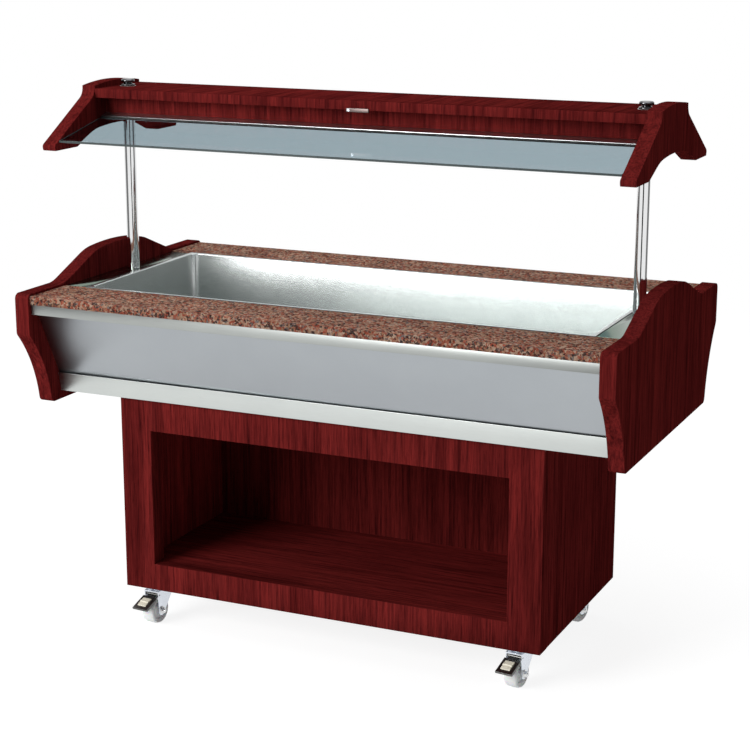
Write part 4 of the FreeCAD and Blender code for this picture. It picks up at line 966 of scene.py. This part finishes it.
class SALADBAR_OT_posts(bpy.types.Operator):
    """Turns the chromed posts, their caps and the bushes that ride on them"""
    bl_idname = "salad_bar.posts"
    bl_label = "Posts"

    def execute(self, context):
        metal = context.scene.salad_metal
        plated = material("Chrome Plate", chrome, metal.chrome)
        x = (POST_LOW[0] + POST_HIGH[0]) / 2
        foot, head = POST_LOW[2], POST_HIGH[2]
        tube = [(0.0130, foot), (0.0142, foot), (0.0150, foot + 0.0008),
                (0.0150, head - 0.0006), (0.0144, head), (0.0130, head)]
        for name, side in (("left", -x), ("right", x)):
            mesh = bmesh.new()
            turn_into(mesh, tube, Matrix.Translation((side, 0, 0)), closed=True)
            hand_over(sharpened(into_object(mesh, f"post_{name}_tube")), plated, "post_" + name)

        cap = smooth_profile([
            (0.0, 0.0), (0.0179, 0.0), (0.0179, 0.0036), (0.0130, 0.0043), (0.0100, 0.0056),
            (0.0100, 0.0074), (0.0134, 0.0081), (0.0169, 0.0094), (0.0169, 0.0142),
            (0.0140, 0.0167), (0.0080, 0.0170), (0.0, 0.0170)], 0.0012)
        mesh = bmesh.new()
        for side in (-x, x):
            turn_into(mesh, cap, Matrix.Translation((side, 0, head)))
        hand_over(sharpened(into_object(mesh, "post_caps_turned")),
                  material("Dark Chrome", chrome, metal.dark_chrome), "post_caps")

        bush_low, bush_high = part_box("post_bushes")
        bush = [(0.01506, bush_low[2]), (0.0244, bush_low[2]), (0.0250, bush_low[2] + 0.0006),
                (0.0250, bush_low[2] + 0.0020), (0.02005, bush_low[2] + 0.0020),
                (0.02005, bush_high[2]), (0.01506, bush_high[2])]
        mesh = bmesh.new()
        for side in (-x, x):
            turn_into(mesh, bush, Matrix.Translation((side, 0, 0)), closed=True)
        nylon = material("Bush Nylon", moulded, (0.60, 0.60, 0.57), 0.4)
        hand_over(sharpened(into_object(mesh, "post_bushes_turned")), nylon, "post_bushes")
        paint_node("post_sockets", galvanised())
        return {"FINISHED"}


class SALADBAR_OT_canopy_glass(bpy.types.Operator):
    """Fits the panes, their channels and gaskets, and the plate on the board's edge"""
    bl_idname = "salad_bar.canopy_glass"
    bl_label = "Canopy Glass"

    def execute(self, context):
        glass = context.scene.salad_glass
        clear = material("Blue-Grey Glass", pane_glass)
        ground = material("Ground Glass Edge", moulded, (0.014, 0.028, 0.028), 0.3)
        for node in ("glass_front", "glass_rear"):
            self.pane(node, clear, ground, glass.edge)
        channel = material("Channel Aluminium", sheet_metal, (0.70, 0.73, 0.74), 0.30, 0.03,
                           (0.04, 1, 1))
        eased_copy("glass_channels", channel, 0.0004, 2)
        self.gaskets()
        self.pull_plate()
        return {"FINISHED"}

    def pane(self, node, clear, ground, width):
        """A flat sheet of glass with narrow ground edges."""
        mesh = flattened(node)
        bmesh.ops.bevel(mesh, geom=mesh.edges[:], offset=width, segments=1, profile=0.5,
                        affect="EDGES")
        piece = into_object(mesh, node + "_finished")
        piece.data.shade_flat()
        hand_over(piece, clear, node)
        piece.data.materials.append(ground)
        across = max(piece.data.polygons, key=lambda face: face.area).normal.copy()
        for face in piece.data.polygons:
            face.material_index = int(abs(face.normal.dot(across)) < 0.99)

    def gaskets(self):
        """Rubber strips between each pane and the outer lips of its channel."""
        half = 0.0025
        drop = (PANE_HIGH[2] - PANE_LOW[2] - 2 * half) / (PANE_HIGH[1] - PANE_LOW[1])
        mesh = bmesh.new()
        for side in (-1, 1):
            for above in (1, -1):
                section = []
                for reach, rise in ((0.0001, -0.0002), (0.0040, -0.0002), (0.0037, 0.0008),
                                    (0.0001, 0.0017)):
                    middle = PANE_LOW[2] + half + drop * (PANE_HIGH[1] - CHANNEL_LIP - reach)
                    section.append((side * (CHANNEL_LIP + reach), middle + above * (half + rise)))
                bar(mesh, section, PANE_LOW[0] + 0.001, PANE_HIGH[0] - 0.001)
        hand_over(ease(into_object(mesh, "glass_gaskets"), 0.0002, 2), rubber(), body="canopy",
                  slot="channel")

    def pull_plate(self):
        satin = material("Satin Plate", sheet_metal, (0.130, 0.100, 0.095), 0.35, 0.05,
                         (0.05, 1, 1))
        eased_copy("pull_plate", satin, 0.0007)
        pin = (PULL_LOW[0] + 0.0060, PULL_LOW[1], (PULL_LOW[2] + PULL_HIGH[2]) / 2)
        screws = screw_set("pull_plate_screws", 20, [pin], (0.0026, 0.0010), (0.0032, 0.0005),
                           (0.0008, 0.003), (math.pi / 2, 0.0, 0.0))
        hand_over(screws, zinc(), body="canopy", slot="stainless")


class SALADBAR_OT_castors(bpy.types.Operator):
    """Moulds the wheels and builds the forks, axles, pedals, plates and screws"""
    bl_idname = "salad_bar.castors"
    bl_label = "Castors"

    def execute(self, context):
        castor = context.scene.salad_castor
        # The wheel colour is partly the pale nylon, partly painted light against the shade round
        # the wheels.
        self.nylon = material("Wheel Nylon", moulded, castor.tyre_with_painted_light, 0.34, 0.03, 45.0, 0.15)
        self.dark = material("Pedal Steel", sheet_metal, (0.13, 0.13, 0.125), 0.32, 0.12)
        self.pad = material("Pedal Pad", moulded, castor.pad, 0.38, 0.08, 90.0)
        for corner in CORNERS:
            self.wheel(corner)
            self.fork(corner)
            eased_copy("castor_axle_" + corner, polished(), 0.0005, 2)
        for corner in CORNERS[:2]:
            self.pedal(corner)
        eased_copy("castor_plates", zinc(), 0.0006, 2)
        self.screws()
        return {"FINISHED"}

    def wheel(self, corner):
        radius, trail = 0.0350, 0.025
        half = smooth_profile([
            (0.00406, 0.0180), (0.0085, 0.0180), (0.0090, 0.0172), (0.0115, 0.0166),
            (0.0122, 0.0120), (0.0145, 0.0092), (0.0222, 0.0090), (0.0242, 0.0142),
            (0.0262, 0.0156), (0.0276, 0.0156), (0.0282, 0.0148), (0.0288, 0.0148),
            (0.0296, 0.0168), (0.0318, 0.0166), (0.0340, 0.0134), (0.0348, 0.0070),
            (radius, 0.0)], 0.0006, 2)
        profile = half + [(out, -across) for out, across in reversed(half[:-1])]
        place = (castor_place(corner) @ Matrix.Translation((0, -trail, radius))
                 @ Matrix.Rotation(math.pi / 2, 4, "Y"))
        mesh = bmesh.new()
        turn_into(mesh, profile, place, closed=True)
        wheel = sharpened(into_object(mesh, f"wheel_{corner}_moulded"))
        hand_over(wheel, self.nylon, "castor_wheel_" + corner)

    def fork(self, corner):
        eased_copy("castor_fork_" + corner, zinc(), 0.0009)
        skirt = smooth_profile([
            (0.0240, 0.0871), (0.0240, 0.0876), (0.0262, 0.0875), (0.0272, 0.0860),
            (0.0276, 0.0798), (0.0268, 0.0794), (0.0262, 0.0830), (0.0256, 0.0871)], 0.0008)
        mesh = bmesh.new()
        turn_into(mesh, skirt, castor_place(corner), closed=True)
        piece = sharpened(into_object(mesh, f"castor_skirt_{corner}"))
        hand_over(piece, zinc(), body="castor_" + corner, slot="zinc")

    def pedal(self, corner):
        tilt, pivot_y, pivot_z = math.radians(20), -0.034, 0.077
        half, end, sheet = 0.021, 0.062, 0.00125
        slope = Matrix(((1, 0, 0, 0), (0, -math.cos(tilt), -math.sin(tilt), pivot_y),
                        (0, -math.sin(tilt), math.cos(tilt), pivot_z), (0, 0, 0, 1)))
        place = castor_place(corner) @ slope
        mesh = bmesh.new()
        for low, high in (
                ((-half, 0.011, -sheet), (half, end, sheet)),
                ((-half, 0.016, -0.0068), (-0.0188, 0.059, 0.0012)),
                ((0.0188, 0.016, -0.0068), (half, 0.059, 0.0012)),
                ((-0.0208, 0.0600, -0.0040), (0.0208, 0.0619, 0.0012)),
                ((-0.012, 0.0, -sheet), (0.012, 0.0135, sheet)),
                ((-0.010, 0.012, -0.00425), (0.010, 0.024, -0.00120))):
            slab(mesh, low, high, place)
        across = place @ Matrix.Rotation(math.pi / 2, 4, "Y")
        for radius, reach in ((0.0035, 0.0182), (0.0020, 0.0209)):
            pin = [(0, -reach), (radius, -reach), (radius, reach), (0, reach)]
            turn_into(mesh, pin, across, 40)
        treadle = ease(into_object(mesh, f"pedal_{corner}_pressed"), 0.0005, 2)
        hand_over(treadle, self.dark, "castor_pedal_" + corner)

        mesh = bmesh.new()
        section = [(0.0210, 0.0012), (0.0222, 0.0040), (0.0262, 0.0048), (0.0330, 0.0046),
                   (0.0348, 0.0064), (0.0372, 0.0064), (0.0388, 0.0042), (0.0470, 0.0040),
                   (0.0500, 0.0032), (0.0512, 0.0012)]
        bar(mesh, section, -0.0120, 0.0120, place)
        pad = ease(into_object(mesh, f"pedal_{corner}_pad"), 0.0005, 3)
        hand_over(pad, self.pad, body="pedal_" + corner, slot="pedal_steel")

    def screws(self):
        points = []
        for corner in CORNERS:
            x, y = JOINTS["swivel_" + corner]["pos_m"][:2]
            points += [(x + i * 0.033, y + j * 0.023, PLATE_TOP - 0.003)
                       for i in (-1, 1) for j in (-1, 1)]
        screws = screw_set("castor_screws_hex", 6, points, (0.0070, 0.0040), (0.0076, 0.0010),
                           (0.004, 0.017), (math.pi, 0.0, 0.0))
        hand_over(ease(screws, 0.0003, 2), zinc(), "castor_screws")


class SALADBAR_OT_hidden_parts(bpy.types.Operator):
    """Finishes the drain valve and lever, the tray, the foam and the steel rails"""
    bl_idname = "salad_bar.hidden_parts"
    bl_label = "Drain and Inner Parts"

    def execute(self, context):
        brass = material("Cast Brass", cast_brass)
        eased_copy("drain_valve", brass, 0.0008, 2)
        root, ridge, pitch = 0.0132, 0.0146, 0.0072
        barb = [(0.0126, VALVE_FOOT + 0.0015)]
        for step in range(4):
            height = VALVE_FOOT + 0.0025 + pitch * step
            barb += [(root, height), (ridge, height + 0.0058), (root, height + 0.0066)]
        barb.append((0.0126, VALVE_FOOT + 0.0310))
        mesh = bmesh.new()
        turn_into(mesh, barb, Matrix.Translation((*DRAIN, 0)), closed=True)
        hand_over(ease(into_object(mesh, "drain_spout_barbs"), 0.0002, 2), brass,
                  body="cabinet", slot="valve_brass")
        self.lever()
        paint_node("well_insulation", material("Insulating Foam", foam))
        for node in ("underside_tray", "chassis_rails"):
            eased_copy(node, galvanised(), 0.0006, 2)
        return {"FINISHED"}

    def lever(self):
        steel = material("Lever Steel", sheet_metal, (0.56, 0.56, 0.55), 0.3, 0.05)
        eased_copy("drain_lever", steel, 0.0008, 2)
        low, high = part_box("drain_lever")
        mesh = bmesh.new()
        middle = (low[2] + high[2]) / 2
        slab(mesh, (0.024, high[1] - 0.0054, middle - 0.0084),
             (high[0] + 0.0012, high[1] + 0.0014, middle + 0.0084))
        grip = ease(into_object(mesh, "drain_lever_grip"), 0.0026, 4)
        hand_over(grip, material("Red Vinyl", moulded, (0.42, 0.020, 0.016), 0.4, 0.05, 70.0),
                  body="drain_lever", slot="lever_paint")


# ---------------------------------------------------------------- stage

class SALADBAR_OT_stage(bpy.types.Operator):
    """Lays the pale floor and sets the soft lights and the camera"""
    bl_idname = "salad_bar.stage"
    bl_label = "Stage"

    def execute(self, context):
        stage = context.scene.salad_stage
        self.floor()
        self.surroundings(stage)
        self.cards()
        self.lamp("Key Light", (-3.0, -5.0, 2.7), (0.0, 0.0, 0.7), 3.2, stage.key_power)
        self.lamp("Top Light", (0.2, 0.4, 5.0), (0.0, 0.0, 0.8), 3.6, stage.top_power)
        self.camera(context, stage)
        context.scene.view_settings.view_transform = "Standard"
        return {"FINISHED"}

    def floor(self):
        """A floor that takes a soft shadow near the object and is white further out."""
        bpy.ops.mesh.primitive_plane_add(size=60)
        ground = bpy.context.object
        ground.name = "studio_floor"
        recipe = Recipe("Studio Floor")
        paper = recipe.noise(recipe.place(), 3.0, 2.0)
        tone = recipe.ramp(paper, (0.3, (0.78, 0.78, 0.78)), (0.7, (0.80, 0.80, 0.80)))
        recipe.finish(base_color=tone, roughness=0.9, specular_ior_level=0.0)
        near, far = 0.9, 4.0
        path = recipe.add("ShaderNodeLightPath").outputs
        seen = recipe.combine("MAXIMUM", path["Is Camera Ray"], path["Is Transmission Ray"])
        seen = recipe.combine("MAXIMUM", seen, path["Is Glossy Ray"])
        away = recipe.add("ShaderNodeVectorMath", {0: recipe.place()}, operation="LENGTH")
        away = away.outputs["Value"]
        share = recipe.combine("MULTIPLY", seen, recipe.level(away, near, far, 0.62, 1.0))
        glow = recipe.add("ShaderNodeEmission", {
            "Color": (1, 1, 1, 1), "Strength": recipe.level(away, near, far, 1.36, 1.0)})
        recipe.blend(share, glow)
        ground.data.materials.append(recipe.material)

    def cards(self):
        """Dark and grey cards that only reflections see, for the bands in the chrome."""
        for name, heading, width, shade in (
                ("Black Card", 28, 0.95, 0.004), ("Grey Card Left", -62, 2.2, 0.20),
                ("Grey Card Right", 118, 2.2, 0.20)):
            turn = math.radians(heading)
            mesh = bmesh.new()
            place = (Matrix.Rotation(turn, 4, "Z") @ Matrix.Translation((0, -2.9, 1.1))
                     @ Matrix.Rotation(-math.pi / 2, 4, "X"))
            bmesh.ops.create_grid(mesh, x_segments=1, y_segments=1, size=0.5,
                                  matrix=place @ Matrix.Diagonal((width, 2.2, 1.0, 1.0)))
            card = into_object(mesh, name.lower().replace(" ", "_"))
            recipe = Recipe(name)
            recipe.finish(base_color=(0, 0, 0), specular_ior_level=0.0, emission_strength=1.0,
                          emission_color=(shade, shade, shade))
            card.data.materials.append(recipe.material)
            for kind in ("camera", "diffuse", "transmission", "shadow"):
                setattr(card, "visible_" + kind, False)

    def surroundings(self, stage):
        """Even soft light; the camera, glass and metal see white in its place."""
        world = bpy.data.worlds.new("Studio")
        bpy.context.scene.world = world
        world.use_nodes = True
        sky = Layout(world.node_tree)
        sky.tree.nodes.clear()
        path = sky.add("ShaderNodeLightPath").outputs
        seen = sky.combine("MAXIMUM", path["Is Camera Ray"], path["Is Transmission Ray"])
        mirrored = sky.combine("MULTIPLY", path["Is Glossy Ray"], 0.75)
        share = sky.combine("MAXIMUM", seen, mirrored)
        soft, bright = (sky.add("ShaderNodeBackground", {"Color": (1, 1, 1, 1), "Strength": level})
                        for level in (stage.ambient, 1.0))
        both = sky.add("ShaderNodeMixShader", {0: share, 1: soft.outputs[0], 2: bright.outputs[0]})
        sky.add("ShaderNodeOutputWorld", {"Surface": both.outputs[0]})

    def lamp(self, name, position, target, size, power):
        data = bpy.data.lights.new(name, "AREA")
        data.shape = "SQUARE"
        data.size = size
        data.energy = power
        light = bpy.data.objects.new(name, data)
        light.location = position
        light.rotation_euler = (Vector(target) - Vector(position)).to_track_quat(
            "-Z", "Y").to_euler()
        bpy.context.scene.collection.objects.link(light)

    def camera(self, context, stage):
        data = bpy.data.cameras.new("Camera")
        data.lens = stage.lens
        data.sensor_width = 36.0
        data.clip_end = 100.0
        camera = bpy.data.objects.new("Camera", data)
        camera.location = stage.position
        camera.rotation_euler = (math.pi / 2 - stage.pitch, 0.0, stage.heading)
        context.scene.collection.objects.link(camera)
        context.scene.camera = camera


class SALADBAR_PT_panel(bpy.types.Panel):
    """Sizes and colours of the salad bar, and the steps that build it"""
    bl_idname = "SALADBAR_PT_panel"
    bl_label = "Salad Bar"
    bl_space_type = "VIEW_3D"
    bl_region_type = "UI"
    bl_category = "Salad Bar"

    def draw(self, context):
        for step in STEPS:
            self.layout.operator(step.bl_idname)
        for name, group in GROUPS.items():
            box = self.layout.box()
            for key in group.__annotations__:
                box.prop(getattr(context.scene, name), key)


GROUPS = {"salad_wood": WoodSettings, "salad_stone": StoneSettings,
          "salad_metal": MetalSettings, "salad_glass": GlassSettings,
          "salad_castor": CastorSettings, "salad_stage": StageSettings}
STEPS = (SALADBAR_OT_woodwork, SALADBAR_OT_counters, SALADBAR_OT_well, SALADBAR_OT_posts,
         SALADBAR_OT_canopy_glass, SALADBAR_OT_castors, SALADBAR_OT_hidden_parts,
         SALADBAR_OT_stage)


def register():
    for group in GROUPS.values():
        bpy.utils.register_class(group)
    for item in (*STEPS, SALADBAR_PT_panel):
        bpy.utils.register_class(item)
    for name, group in GROUPS.items():
        setattr(bpy.types.Scene, name, PointerProperty(type=group))


def unregister():
    for name in GROUPS:
        delattr(bpy.types.Scene, name)
    for item in (SALADBAR_PT_panel, *reversed(STEPS), *reversed(GROUPS.values())):
        bpy.utils.unregister_class(item)


def main():
    register()
    bpy.ops.salad_bar.woodwork()
    bpy.ops.salad_bar.counters()
    bpy.ops.salad_bar.well()
    bpy.ops.salad_bar.posts()
    bpy.ops.salad_bar.canopy_glass()
    bpy.ops.salad_bar.castors()
    bpy.ops.salad_bar.hidden_parts()
    bpy.ops.salad_bar.stage()


if __name__ == "__main__":
    main()
